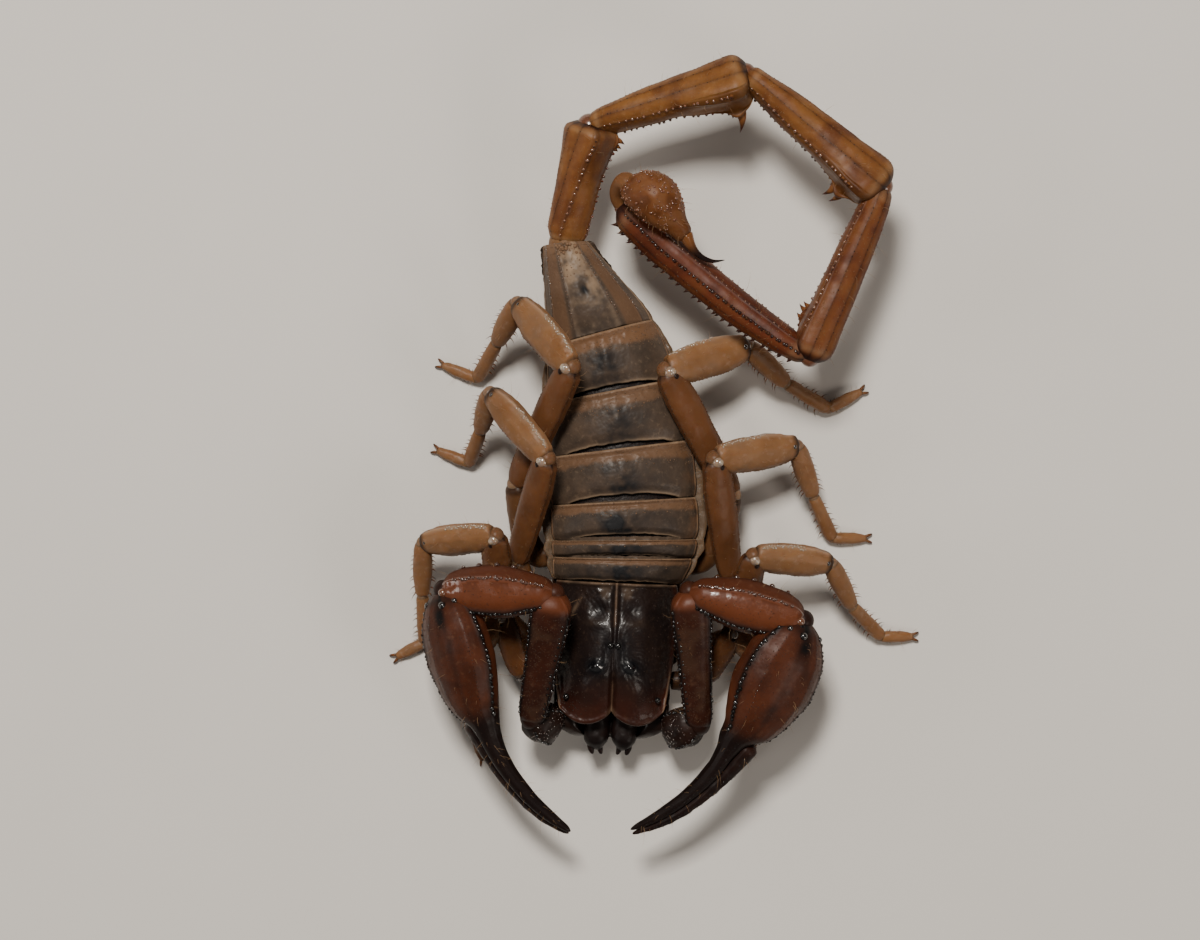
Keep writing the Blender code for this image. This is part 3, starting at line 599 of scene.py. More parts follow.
def cuticle(name, base, deep, dark, pale, warm, *, rough, grain, bump, coat, speck, subsurface=0.0):
    """A waxy shell: clouds between base and deep, then the marks' dark, pale and warm colours.

    Where the marks ask for polish it is half as rough, with a stronger coat and reflection.
    Grain is the number of its cells along a metre, and speck is how much they colour it.
    """
    material = bpy.data.materials.new(name)
    material.use_nodes = True
    tree = material.node_tree
    shader = tree.nodes["Principled BSDF"]
    place = tree.nodes.new("ShaderNodeTexCoord").outputs["Object"]
    attribute = tree.nodes.new("ShaderNodeAttribute")
    attribute.attribute_name = "marks"
    marks = tree.nodes.new("ShaderNodeSeparateXYZ")
    tree.links.new(attribute.outputs["Vector"], marks.inputs[0])
    broad = clouds(tree, place, CLOUD_WAVES, 5.0, 0.65)
    fine = clouds(tree, place, grain * 0.6, 3.0, 0.7)
    tone = mix(tree, remap(tree, broad, 0.35, 0.68), base, deep)
    tone = mix(tree, remap(tree, fine, 0.56, 0.72, 0.0, speck), tone, pale)
    tone = mix(tree, remap(tree, fine, 0.44, 0.3, 0.0, speck), tone, dark)
    tone = mix(tree, marks.outputs[2], tone, warm)
    tone = mix(tree, marks.outputs[1], tone, pale)
    tone = mix(tree, marks.outputs[0], tone, dark)
    link(tree, tone, shader.inputs["Base Color"])
    worn = clouds(tree, place, WORN_WAVES, 6.0, 0.7)
    by_dark = remap(tree, marks.outputs[0], *DARK_POLISH)
    by_warm = remap(tree, marks.outputs[2], *WARM_POLISH)
    polished = calculate(tree, "MAXIMUM", by_dark, by_warm)
    matt = remap(tree, worn, 0.3, 0.75, rough * 0.85, rough * 1.25)
    smoother = remap(tree, polished, 0.0, 1.0, 1.0, 0.5)
    link(tree, calculate(tree, "MULTIPLY", matt, smoother), shader.inputs["Roughness"])
    link(tree, remap(tree, polished, 0.0, 1.0, coat, 0.9), shader.inputs["Coat Weight"])
    link(tree, remap(tree, polished, 0.0, 1.0, 0.15, 0.7), shader.inputs["Specular IOR Level"])
    cells = tree.nodes.new("ShaderNodeTexVoronoi")
    tree.links.new(place, cells.inputs["Vector"])
    cells.inputs["Scale"].default_value = grain
    height = remap(tree, cells.outputs["Distance"], 0.0, 0.75, 1.0, 0.0)
    relief = calculate(tree, "ADD", height, remap(tree, worn, 0.2, 0.8, 0.0, 0.4))
    dents = tree.nodes.new("ShaderNodeBump")
    dents.inputs["Strength"].default_value = bump
    dents.inputs["Distance"].default_value = GRAIN_DEPTH
    link(tree, relief, dents.inputs["Height"])
    link(tree, dents.outputs[0], shader.inputs["Normal"])
    shader.inputs["Metallic"].default_value = 0.0
    shader.inputs["IOR"].default_value = 1.52
    shader.inputs["Coat Roughness"].default_value = 0.07
    shader.inputs["Subsurface Weight"].default_value = subsurface
    shader.inputs["Subsurface Radius"].default_value = (1.0, 0.45, 0.2)
    shader.inputs["Subsurface Scale"].default_value = SCATTER_DEPTH
    return material


SHELL = cuticle(
    "carapace_shell", (0.016, 0.009, 0.007), (0.009, 0.006, 0.006), (0.003, 0.003, 0.004),
    (0.21, 0.135, 0.085), (0.060, 0.012, 0.004), rough=0.38, grain=4200, bump=0.26, coat=0.06, speck=0.08,
)
BACK = cuticle(
    "back_plates", (0.093, 0.061, 0.041), (0.054, 0.039, 0.029), (0.012, 0.012, 0.013),
    (0.36, 0.25, 0.16), (0.150, 0.076, 0.038), rough=0.40, grain=3600, bump=0.24, coat=0.0, speck=0.18,
)
SKIN = cuticle(
    "soft_skin", (0.12, 0.075, 0.042), (0.08, 0.050, 0.030), (0.012, 0.007, 0.006),
    (0.28, 0.20, 0.13), (0.22, 0.10, 0.04), rough=0.42, grain=5200, bump=0.3, coat=0.10,
    subsurface=0.25, speck=0.2,
)
UNDER = cuticle(
    "under_shell", (0.15, 0.060, 0.020), (0.09, 0.034, 0.013), (0.010, 0.005, 0.004),
    (0.34, 0.19, 0.09), (0.22, 0.09, 0.028), rough=0.36, grain=3000, bump=0.25, coat=0.15, speck=0.2,
)
TAIL = cuticle(
    "tail_shell", (0.220, 0.093, 0.025), (0.140, 0.052, 0.014), (0.020, 0.006, 0.004),
    (0.46, 0.29, 0.15), (0.130, 0.031, 0.011), rough=0.42, grain=2600, bump=0.16, coat=0.0,
    subsurface=0.20, speck=0.14,
)
ARM = cuticle(
    "arm_shell", (0.048, 0.0125, 0.0055), (0.031, 0.009, 0.005), (0.004, 0.003, 0.003),
    (0.32, 0.18, 0.10), (0.115, 0.032, 0.012), rough=0.42, grain=3400, bump=0.16, coat=0.0,
    subsurface=0.05, speck=0.12,
)
LEG = cuticle(
    "leg_shell", (0.215, 0.101, 0.038), (0.155, 0.070, 0.026), (0.014, 0.006, 0.004),
    (0.54, 0.42, 0.32), (0.130, 0.046, 0.017), rough=0.40, grain=2800, bump=0.16, coat=0.0,
    subsurface=0.35, speck=0.16,
)
STING = cuticle(
    "sting_shell", (0.050, 0.012, 0.005), (0.018, 0.006, 0.004), (0.005, 0.003, 0.003),
    (0.20, 0.09, 0.04), (0.180, 0.066, 0.020), rough=0.26, grain=3000, bump=0.1, coat=0.6, speck=0.1,
)
EYE = cuticle(
    "eye_lens", (0.006, 0.005, 0.005), (0.004, 0.004, 0.004), (0.002, 0.002, 0.002),
    (0.02, 0.02, 0.02), (0.02, 0.01, 0.01), rough=0.06, grain=900, bump=0.02, coat=1.0, speck=0.0,
)
print("finishes:", [material.name for material in bpy.data.materials if material.node_tree])

# %% [markdown]
# ## The head shield
# The carapace is one hard plate over the head and chest. It is nearly black, with a blue-grey
# shine, a furrow down its middle and two rounded lobes at the front with a notch between them.
# Its top is a height field over the plate, with hollows and knobs added one by one.

# %% Shape of the head shield
SHIELD_LENGTH = 10.0
SHIELD_LOBE = 1.1
SHIELD_HALF_WIDTH = 4.9
SHIELD_CREST = [(0.0, 7.9), (0.25, 8.1), (0.5, 8.35), (0.68, 8.1), (0.85, 7.2), (1.0, 6.4)]
SHIELD_RIM = [(0.0, 5.2), (0.5, 4.9), (0.8, 5.1), (1.0, 5.6)]
SHIELD_UNDERSIDE = [(0.0, 3.6), (0.6, 3.6), (0.74, 4.95), (1.0, 5.0)]
FURROW_DEPTH = 0.42
SHIELD_WALL = 0.7
# Hollows and knobs on each side: out from the midline, forward, half size across and along,
# and height, which is below nought for a hollow.
SHIELD_RELIEF = [
    (0.70, 0.75, 0.45, 0.60, -0.14),
    (1.20, 2.05, 0.70, 0.70, -0.24),
    (1.55, 3.20, 0.80, 0.40, 0.12),
    (2.25, 2.50, 0.40, 0.60, 0.10),
    (0.26, 4.00, 0.13, 0.75, 0.12),
    (0.62, 5.30, 0.26, 0.80, -0.20),
    (1.30, 6.45, 0.42, 0.40, 0.30),
    (0.80, 7.10, 0.30, 0.34, 0.14),
    (2.05, 6.90, 0.34, 0.30, 0.12),
    (2.90, 4.60, 0.45, 1.40, -0.16),
    (3.20, 1.40, 0.50, 0.80, 0.12),
    (2.00, 8.60, 0.90, 0.90, 0.16),
    (3.70, 7.60, 0.30, 1.10, -0.14),
]


def shield_height(u, v, out, forward):
    """The shield's height over the floor: an arch from rim to crest, less the furrow, plus the
    hollows and knobs, each a bell-shaped bump."""
    crest, rim = curve(SHIELD_CREST, v), curve(SHIELD_RIM, v)
    deeper = 0.55 + 0.45 * step(0.30, 0.62, np.abs(v - 0.48) * 2)
    furrow = FURROW_DEPTH * hump(0, 0.055, u) * deeper
    height = rim + (crest - rim) * (1 - np.abs(u) ** 2.4) - furrow
    for across, along, wide, long, rise in SHIELD_RELIEF:
        away = ((np.abs(out) - across) / wide) ** 2 + ((forward - along) / long) ** 2
        height = height + rise * np.exp(-away)
    return height


def shield_surface():
    """The top of the head shield as a grid, from its rear edge to its front and right to left.

    Out from the midline is u times the half width, and forward is v times the length, which
    grows by two lobes. A raised lip runs along the margins, and fine rays fan out over it all.
    """
    across = np.linspace(-1, 1, 181)
    u = (across + 0.12 * np.sin(2 * math.pi * across) / math.pi)[None, :]
    v = np.linspace(0.002, 1.0, 150)[:, None]
    lobes = SHIELD_LOBE * np.abs(np.sin(math.pi * np.abs(u))) ** 0.7 - 0.3 * u**4
    forward = v * (SHIELD_LENGTH + lobes)
    out = u * (SHIELD_HALF_WIDTH - 0.75 * v**2.5) * (1 - 0.05 * np.exp(-(v / 0.08)))
    height = shield_height(u, v, out, forward)
    lip = 0.16 * (hump(0.985, 0.02, v) + hump(0.012, 0.014, v)) * (1 - hump(0, 0.08, u))
    edge = 0.10 * hump(0.965, 0.022, np.abs(u))
    height = height + lip + edge
    turn = np.arctan2(np.abs(out) + 0.4, forward - 4.6)
    rays = 0.006 * np.sin(turn * 56 + 3.0 * noise(ahead(out, forward, 0), 0.9, 5))
    height = height + rays * step(0.8, 2.0, np.hypot(out, forward - 4.6))
    place = ahead(out, forward, height)
    grainy = 0.012 + 0.040 * step(0.6, 0.95, np.abs(u)) + 0.02 * step(0.25, 0.05, v)
    place[..., 2] += grainy * noise(place, 0.34, 11, 2) + 0.022 * noise(place, 1.3, 12)
    return Surface(place, closed=False), u, v, out, forward


# %% Build the head shield
def close_plate(surface, thickness, edge, floor=None):
    """Makes a closed ring grid from a plate's top: the underside lies thickness below along the
    normals, or at a floor height if that is lower, and meets the top in a thin rounded edge over
    a share of the plate along every margin."""
    top = surface.grid
    rows, columns = top.shape[:2]
    v, u = np.linspace(0, 1, rows)[:, None], np.linspace(0, 1, columns)[None, :]
    near = np.minimum(np.minimum(v, 1 - v) / edge, np.minimum(u, 1 - u) / edge)
    full = np.sqrt(1 - (1 - np.clip(near, 0.02, 1)) ** 2)[..., None]
    under = top - surface.normal * thickness * full
    if floor is not None:
        under[..., 2] = np.minimum(under[..., 2], floor)
    return np.concatenate([top, under[:, ::-1]], axis=1)


def both(marks):
    """Marks for a closed plate: those of its top, and none for its underside."""
    return np.concatenate([marks, np.zeros(marks.shape)], axis=1)


surface, u, v, out, forward = shield_surface()
side_out = np.abs(out)
cloud = noise(surface.grid, 1.1, 21, 3)
rim_line = hump(0.965, 0.014, np.abs(u)) * step(0.62, 0.78, v)
rear_line = hump(0.008, 0.010, v)
front_line = hump(0.992, 0.010, v) * step(0.35, 0.7, np.abs(u))
# Painted sheen: the rear wedges beside the furrow are paler, where the glossy shell catches the light.
rear_wedge_sheen = np.exp(-(((side_out - 0.85) / (0.62 - 0.28 * forward)) ** 4 + ((forward - 0.75) / 0.55) ** 4))
# Painted shade: the two round hollows behind the middle are painted darker.
hollow_shade = np.exp(-(((side_out - 1.25) / 0.62) ** 2 + ((forward - 2.05) / 0.62) ** 2))
bosses = hump(1.35, 0.8, side_out) * hump(6.5, 0.7, forward)
# Painted highlights: pale patches where the shell catches the light, behind its middle and on the bosses
# before the eyes.
painted_sheen = hump(1.7, 0.7, side_out) * hump(3.1, 0.35, forward)
painted_sheen = painted_sheen + hump(1.35, 0.5, side_out) * hump(6.5, 0.4, forward)
notch = hump(0, 0.07, u) * step(0.93, 0.99, v)
scratch = hump(-3.2, 0.16, out + 0.5 * (forward - 2.2)) * hump(2.2, 0.8, forward)
seam = hump(0, 0.016, u) * (step(0.36, 0.28, v) * (0.7 + 0.3 * cloud) + 0.45 * step(0.74, 0.80, v))
lobes_red = step(0.66, 0.9, v) * (0.55 + 0.2 * cloud)
pale = 0.9 * rim_line + 0.6 * rear_line * (0.7 + 0.5 * cloud) + 0.03 * front_line + 0.2 * rear_wedge_sheen + 0.5 * notch
pale = pale + 0.4 * scratch + 0.75 * seam + 0.06 * painted_sheen
warm = np.clip(lobes_red * 0.6 + 0.35 * step(0.85, 0.98, np.abs(u)) + 0.35 * seam, 0, 1)
dark = 0.8 * hump(0.5, 0.6, side_out) * hump(5.0, 1.1, forward) + 0.5 * hollow_shade + 1.5 * bosses
piece = Piece()
floor_height = curve(SHIELD_UNDERSIDE, v) + 0 * u
closed = close_plate(surface, SHIELD_WALL, 0.03, floor_height)
piece.shell(closed, both(paint(dark, pale, warm)), zipped=True)
rng = np.random.default_rng(7)
spots = rng.uniform(0, 1, (900, 2))
spots = spots[np.abs(spots[:, 1] * 2 - 1) > 0.45 + 0.5 * rng.uniform(0, 1, 900) * (spots[:, 0] < 0.8)]
places, normals = surface.at(0.03 + 0.93 * spots[:, 0], 0.02 + 0.96 * spots[:, 1])
sizes = 0.035 + 0.045 * rng.uniform(0, 1, len(places)) ** 2
piece.beads(places, normals, sizes, paint(0.2, 0.08, 0.1), 0.6)
place_piece(piece, "carapace", SHELL)
print("head shield:", piece.count, "points")

# %% [markdown]
# ## Eyes
# Two black eyes sit close together beside the furrow, like drops of tar, and a smaller pair
# looks out from each front corner. They are clear domes, so a polished ball that is sunk into
# the shield does for each.

# %% Build the eyes
for side, sign in SIDES:
    for kind, (out, forward, height, radius) in (("median", MEDIAN_EYE), ("lateral", SIDE_EYE)):
        piece = Piece()
        piece.ball(ahead(sign * out, forward, height), radius, squash=(1, 1, 0.95))
        place_piece(piece, f"eye_{kind}_{side}", EYE)
print("eyes ready:", len(PIECES), "pieces so far")

# %% [markdown]
# ## Back plates
# Seven plates roof the trunk. Each has an olive-black middle and a red-brown band at its rear
# edge that ends in a pale line. The front edge of the next plate bows back in the middle, which
# leaves a dark slot between the two. The last plate carries four keels of dark granules.

# %% The line of the trunk
# Each back plate's length and heading, from the shield to the tail.
BACK_PLATES = [(1.9, 76), (1.4, 84), (3.0, 91), (4.1, 94), (4.5, 98), (4.6, 102), (7.5, 111)]
LAST_PLATE = 6
# How far behind the shield, half width of the plates, heights of their crest and rim and of the
# belly, and half width of the soft flanks.
TRUNK_SECTIONS = [
    (0.0, 5.0, 7.9, 5.2, 3.7, 5.0),
    (1.9, 5.5, 8.0, 5.3, 3.7, 5.9),
    (3.3, 5.7, 8.1, 5.3, 3.6, 6.2),
    (4.8, 5.75, 8.1, 5.3, 1.8, 6.3),
    (10.4, 5.6, 7.9, 5.2, 1.6, 6.1),
    (14.9, 5.15, 7.6, 5.1, 1.6, 5.5),
    (19.5, 4.3, 7.3, 5.0, 2.0, 4.4),
    (23.2, 3.1, 7.2, 5.0, 2.8, 3.05),
    (27.0, 1.8, 7.1, 5.2, 3.9, 1.7),
]
SECTION_HEADINGS = [(0.0, 87.5), (14.9, 101.0), (19.5, 105.0), (27.0, 96.0)]
EDGES = np.concatenate([[0.0], np.cumsum([length for length, _ in BACK_PLATES])])
SPINE_LINE = walk((0, 0, 0), [(length, heading, 0) for length, heading in BACK_PLATES])
PLATE_ARC = math.radians(80.0)
PLATE_WALL = 0.42
INNER_KEEL, OUTER_KEEL = 0.33, 0.70  # how far out they run on the last plate, in half widths
# How far the front edge of each plate bows back in the middle, in mm.
BOWS = (0.12, 0.26, 0.50, 0.56, 0.45, 0.44, 0.05)


def across_trunk(distance, out, height):
    """Places in the trunk's sections behind the shield: along the smooth midline, then out."""
    distance, out, height = np.broadcast_arrays(distance, out, height)
    middle = curve(np.column_stack([EDGES, SPINE_LINE]), distance, free=True)
    side = direction(curve(SECTION_HEADINGS, distance) - 90)
    return middle + out[..., None] * side + height[..., None] * UP


def plate_surface(k):
    """The top of one back plate, from its front edge to its rear and from right to left.

    The section is an arch: out is the sine of an angle up to 80 degrees each side, and the
    height its cosine. The plate dips at its front, swells in the middle and ends in a raised lip.
    """
    start, end = EDGES[k], EDGES[k + 1]
    rows = 46 if k < LAST_PLATE else 84
    u, v = np.linspace(-1, 1, 141)[None, :], np.linspace(0, 1, rows)[:, None]
    crinkle = 0.05 * noise(np.stack([u * 5.0 + 0 * v, 0 * u * v + k * 7.3, 0 * u * v], -1), 0.4, 3, 2)
    bow = (BOWS[k] + crinkle) * np.clip(1 - (np.abs(u) / 0.62) ** 2.2, 0, 1) ** 0.8
    front = start + 0.05 + bow
    back = end + 0.05 + (0.25 * step(0.25, 0.0, np.abs(u)) if k == LAST_PLATE else 0.0)
    distance = front + v * (back - front)
    width, crest, rim = np.moveaxis(curve(TRUNK_SECTIONS, distance)[..., :3], -1, 0)
    angle = u * PLATE_ARC
    rise = (np.cos(angle) - math.cos(PLATE_ARC)) / (1 - math.cos(PLATE_ARC))
    corners = 1 - 0.035 * np.abs(2 * v - 1) ** 5
    out = width * np.sin(angle) / math.sin(PLATE_ARC) * corners
    tuck = 0.22 * step(0.22, 0.0, v)
    lip = 0.10 * hump(0.955, 0.035, v) - 0.06 * hump(0.86, 0.05, v)
    swell = 0.14 * np.sin(math.pi * v) + 0.12 * v
    side_rim = 0.16 * hump(0.955, 0.03, np.abs(u))
    ridge = 0.10 * hump(0, 0.06, u) * step(0.1, 0.4, v) * (k < LAST_PLATE)
    height = rim + (crest - rim) * rise - tuck + lip + swell * (0.4 + 0.6 * rise) + side_rim + ridge
    if k == LAST_PLATE:
        for keel_out in (INNER_KEEL, OUTER_KEEL):
            height = height + 0.10 * hump(keel_out, 0.03, np.abs(u))
        height = height - 0.16 * hump(0, 0.07, u) * hump(0.45, 0.08, v)
    place = across_trunk(distance, out, height)
    rough = 0.012 + 0.030 * step(0.45, 0.9, v)
    place[..., 2] += rough * noise(place, 0.34, 40 + k, 2) + 0.06 * noise(place, 1.4, 50 + k)
    return Surface(place, closed=False), u + 0 * v, v + 0 * u


# %% Build the seven back plates
# Per plate: how dark its middle is, and how many granules lie on it.
PLATE_SHADES = (0.62, 0.58, 0.52, 0.42, 0.34, 0.24, 0.06)
PLATE_GRANULES = (70, 80, 200, 260, 280, 260, 260)
# The last plate's keels and their numbers of granules.
PLATE_KEELS = ((INNER_KEEL, 26), (OUTER_KEEL, 30))

for k, (shade, number) in enumerate(zip(PLATE_SHADES, PLATE_GRANULES)):
    surface, u, v = plate_surface(k)
    cloud = noise(surface.grid, 0.9, 60 + k, 3)
    light = 1.0 if k == 5 else 0.7
    band = step(0.66, 0.76, v + 0.05 * cloud)
    line = step(0.955, 0.985, v)
    front_line = step(0.06, 0.0, v) * step(0.7, 0.5, np.abs(u))
    rims = step(0.90, 0.955, np.abs(u))
    blotch = hump(0, 0.20, u + 0.05 * cloud) * step(0.72, 0.55, v) * (0.75 + 0.5 * cloud)
    tanned = step(0.55, 0.95, u) * step(0.1, 0.6, cloud) * (k < 4)
    pale = 0.55 * line * (0.8 + 0.4 * cloud) + 0.5 * front_line + 0.30 * rims * step(-0.2, 0.4, cloud)
    warm = np.clip(0.85 * light * band * (1 - blotch * 0.4) + 0.75 * rims + 0.55 * tanned, 0, 1)
    dark = np.clip(0.8 * blotch * (1 - band), 0, 1)
    dark = dark + shade * step(0.9, 0.5, np.abs(u)) * step(0.03, 0.12, v) * (0.75 + 0.35 * cloud) * (1 - band)
    if k == LAST_PLATE:
        keels = hump(INNER_KEEL, 0.014, np.abs(u)) + hump(OUTER_KEEL, 0.016, np.abs(u))
        between = step(0.36, 0.42, np.abs(u)) * step(0.72, 0.66, np.abs(u))
        # Painted shade: the small pit in the middle of the plate is painted dark.
        pit_shade = 0.8 * hump(0, 0.06, u) * hump(0.45, 0.05, v)
        warm = np.clip(0.55 * between + 0.5 * rims + 0.5 * step(0.8, 0.95, v), 0, 1)
        # The pale middle panel is partly its own grey colour and partly a painted sheen.
        pale = 0.45 * step(0.34, 0.22, np.abs(u)) * (0.6 + 0.8 * cloud) + 0.6 * step(0.90, 0.97, u)
        pale = pale + 0.15 * step(0.8, 0.95, v)
        stain = 0.35 * step(0.2, -0.5, cloud) * step(0.32, 0.2, np.abs(u))
        dark = np.clip(0.35 * keels + 0.12 * between + pit_shade + stain, 0, 1)
    piece = Piece()
    piece.shell(close_plate(surface, PLATE_WALL, 0.05), both(paint(dark, pale, warm)), zipped=True)
    rng = np.random.default_rng(80 + k)
    along = 1 - 0.42 * rng.uniform(0, 1, number) ** 1.3
    spread = rng.uniform(0.03, 0.97, number)
    places, normals = surface.at(np.minimum(along, 0.955), spread)
    tint = paint(0.25 * rng.uniform(0, 1, number), 0.15 * rng.uniform(0, 1, number), 0.6)
    piece.beads(places, normals, 0.03 + 0.045 * rng.uniform(0, 1, number) ** 2, tint, 0.55)
    if k == LAST_PLATE:
        spots = rng.uniform((0.86, 0.34), (0.97, 0.66), (26, 2))
        places, normals = surface.at(spots[:, 0], spots[:, 1])
        piece.beads(places, normals, rng.uniform(0.09, 0.17, 26), paint(0.0, 0.12, 0.8), 0.8)
        for keel_out, count in PLATE_KEELS:
            for sign in (-1, 1):
                along = scatter(count, 0.12, 0.95, 90 + count + sign)
                turn = 0.5 + sign * (keel_out + rng.uniform(-0.012, 0.012, count)) / 2
                places, normals = surface.at(along, turn)
                sizes = 0.04 + 0.05 * rng.uniform(0, 1, count)
                tint = paint(0.55 * rng.uniform(0.4, 1, count), 0.0, 2.0)
                piece.beads(places, normals, sizes, tint, 0.8)
    place_piece(piece, f"tergite_{k + 1}", BACK)
print("back plates ready:", len(PIECES), "pieces so far")

# %% [markdown]
# ## Soft flanks, belly and underside
# Between the back plates and the belly plates the skin is soft, grey-tan and slightly clear. It
# bulges beside each plate. Underneath lie broad smooth belly plates, the hips of the legs and
# the two combs with which a scorpion feels the ground.

# %% A closed outline through a few points
def closed_curve(points, columns):
    """Smooth closed rings through a few points each: points is (rows, points, 3).

    Between two points the ring is a cubic whose slope at each is half the step between that
    point's neighbours.
    """
    count = points.shape[1]
    at = np.arange(columns) * count / columns
    k = at.astype(int)
    t = (at - k)[None, :, None]
    before, here, after, later = (points[:, (k + shift) % count] for shift in (-1, 0, 1, 2))
    one, two = (after - before) / 2, (later - here) / 2
    rise = t * t * (3 - 2 * t)
    return here * (1 - rise) + after * rise + t * (1 - t) * ((1 - t) * one - t * two)


# %% The belly
BELLY_INSET = 0.66
# Shares of the flank's half width and of the way down from the rim, below the plates.
FLANK = [(0.985, 0.04), (1.0, 0.16), (0.9, 0.55), (0.76, 0.9), (0.4, 1.0)]
distance = np.linspace(0.03, 26.97, 220)
width, crest, rim, floor, flank = np.moveaxis(curve(TRUNK_SECTIONS, distance), -1, 0)
segment = np.interp(distance, EDGES, np.arange(8))
between = np.abs(segment - np.round(segment)) * 2
bulge = 1 + 0.045 * (between**0.6 - 0.6) * step(27.0, 22.0, distance)
controls = []
for angle in np.linspace(-PLATE_ARC, PLATE_ARC, 7):
    rise = (math.cos(angle) - math.cos(PLATE_ARC)) / (1 - math.cos(PLATE_ARC))
    out = (width - BELLY_INSET) * math.sin(angle) / math.sin(PLATE_ARC)
    controls.append(across_trunk(distance, out, rim - 0.1 + (crest - BELLY_INSET - rim + 0.1) * rise))
wall = [(out * flank * bulge, rim - down * (rim - floor)) for out, down in FLANK]
controls += [across_trunk(distance, out, height) for out, height in wall]
controls += [across_trunk(distance, -out, height) for out, height in reversed(wall)]
grid = closed_curve(np.stack(controls, axis=1), 128)
surface = Surface(grid)
# Painted shade: above 5.25 mm the skin lies under the back plates and is painted dark, which shows in the
# slots between them.
over = step(5.25, 5.6, grid[..., 2])
under = step(3.4, 2.6, grid[..., 2])
joints = 1 - step(0.02, 0.14, between)[:, None]
# Four pairs of breathing slits, one pair on each of the middle belly plates.
middle = across_trunk(distance, 0 * width, floor)[:, None]
aside = np.linalg.norm((grid - middle)[..., :2], axis=-1)
slits = sum(hump(k + 0.55, 0.035, segment) for k in (2, 3, 4, 5))[:, None]
slits = slits * hump(2.2, 0.65, aside) * under
folds = 0.012 * np.sin(distance[:, None] * 6 + 4 * noise(grid, 1.1, 3)) * step(7.0, 6.0, grid[..., 2])
surface = surface.raised(folds + 0.03 * noise(grid, 0.7, 4, 2) - 0.14 * slits - 0.10 * joints * under)
warm = 0.7 * under * (1 - joints)
pale = 0.25 * joints * (1 - over) * (1 - under) + 0.12 * (1 - over) * step(0.0, 0.6, noise(grid, 0.8, 6, 2))
piece = Piece()
piece.shell(surface.grid, paint(over + 0.8 * slits + 0.3 * joints * under, pale, warm))
place_piece(piece, "belly", SKIN)
print("belly:", piece.count, "points")

# %% Hips and mouth floor
# How far forward, half width, and heights of the underside, of the top's sides and its middle.
HIP_SECTIONS = [
    (12.4, 3.8, 2.4, 4.3, 2.9),
    (11.0, 4.4, 1.9, 4.6, 2.8),
    (9.0, 4.5, 1.5, 4.5, 2.8),
    (7.6, 4.5, 1.3, 3.5, 3.3),
    (6.6, 4.5, 1.2, 3.5, 3.45),
    (6.0, 5.0, 1.2, 3.5, 3.5),
    (-2.2, 5.0, 1.2, 3.5, 3.5),
    (-3.0, 4.6, 1.4, 3.5, 3.5),
]
at = np.linspace(-3.0, 12.2, 150)
half, low, side_top, middle_top = np.moveaxis(curve(HIP_SECTIONS[::-1], at), -1, 0)
nose = np.sqrt(1 - np.clip((at - 11.0) / 1.25, 0, 0.98) ** 2)
half = half * (0.55 + 0.45 * nose)
low = 3.2 - (3.2 - low) * (0.3 + 0.7 * nose)
side_top = 3.4 + (side_top - 3.4) * nose
corners = [
    (0 * half, low), (0.3 * half, low), (0.6 * half, low), (0.88 * half, low + 0.16), (half, low + 0.6),
    (half, side_top - 0.5), (0.95 * half, side_top), (0.62 * half, side_top), (0.5 * half, middle_top),
]
corners += [(-out, height) for out, height in reversed(corners[1:])]
grid = closed_curve(np.stack([ahead(out, at, height) for out, height in corners], axis=1), 120)
surface = Surface(grid)
# Grooves part the hips of one pair of legs from the next.
groove = sum(hump(seam, 0.14, at[:, None] + 0.25 * np.abs(grid[..., 0])) for seam in (6.3, 3.5, 0.1))
low_side = step(2.6, 1.8, grid[..., 2])
surface = surface.raised(-0.22 * groove * low_side + 0.03 * noise(grid, 0.5, 8, 2))
piece = Piece()
# Painted shade under the head shield: the top of the hips and the mouth floor are painted dark.
mouth = step(7.5, 9.5, at)[:, None]
dark = 0.8 * groove * low_side + 0.75 * step(2.6, 3.4, grid[..., 2]) + mouth
piece.shell(surface.grid, paint(np.minimum(dark, 0.98), 0.0, 0.3))
place_piece(piece, "coxosternum", UNDER)
print("hips and mouth floor:", piece.count, "points")

# %% The two combs
COMB_HEADINGS = {"l": 48.0, "r": 132.0}
COMB_LENGTH = 6.6
COMB_TEETH = 19
COMB_SHAFT = [(0.0, 0.35, 0.26), (0.25, 0.5, 0.28), (0.7, 0.5, 0.28), (1.0, 0.25, 0.2)]
COMB_TOOTH = [(0, 0.16, 0.14), (0.6, 0.15, 0.13), (1, 0.1, 0.1)]

for side, sign in SIDES:
    root = ahead(sign * 0.6, -4.3, 1.15)
    run, broad = direction(COMB_HEADINGS[side]), direction(COMB_HEADINGS[side] + 90)
    broad = -broad if broad @ direction(SHIELD_HEADING) < 0 else broad
    limb = Limb([root, root + run * COMB_LENGTH], COMB_SHAFT, UP, caps=(0.05, 0.05), rows=50, columns=32)
    limb.raise_by(-0.06 * (hump(0.33, 0.02, limb.part) + hump(0.66, 0.02, limb.part)))
    piece = Piece()
    piece.skin(limb, 0.1, 0.2, 0.3)
    for part in np.linspace(0.08, 0.95, COMB_TEETH):
        start = root + run * COMB_LENGTH * part + broad * 0.15
        tip = start + broad * (0.75 - 0.25 * part) + UP * -0.05
        piece.skin(Limb([start, tip], COMB_TOOTH, UP, caps=(0.1, 0.25), rows=5, columns=10), 0.0, 0.7, 0.1)
    place_piece(piece, "pecten_" + side, UNDER)
print("combs ready:", len(PIECES), "pieces so far")

# %% [markdown]
# ## Jaws
# The chelicerae are two short, dark pincers under the front of the shield, painted almost black:
# partly their own colour, partly the shade that falls there. Each is a swollen palm with a fixed
# and a movable finger, both hooked inwards. Little of them shows, so three tapered tubes do for
# each jaw.

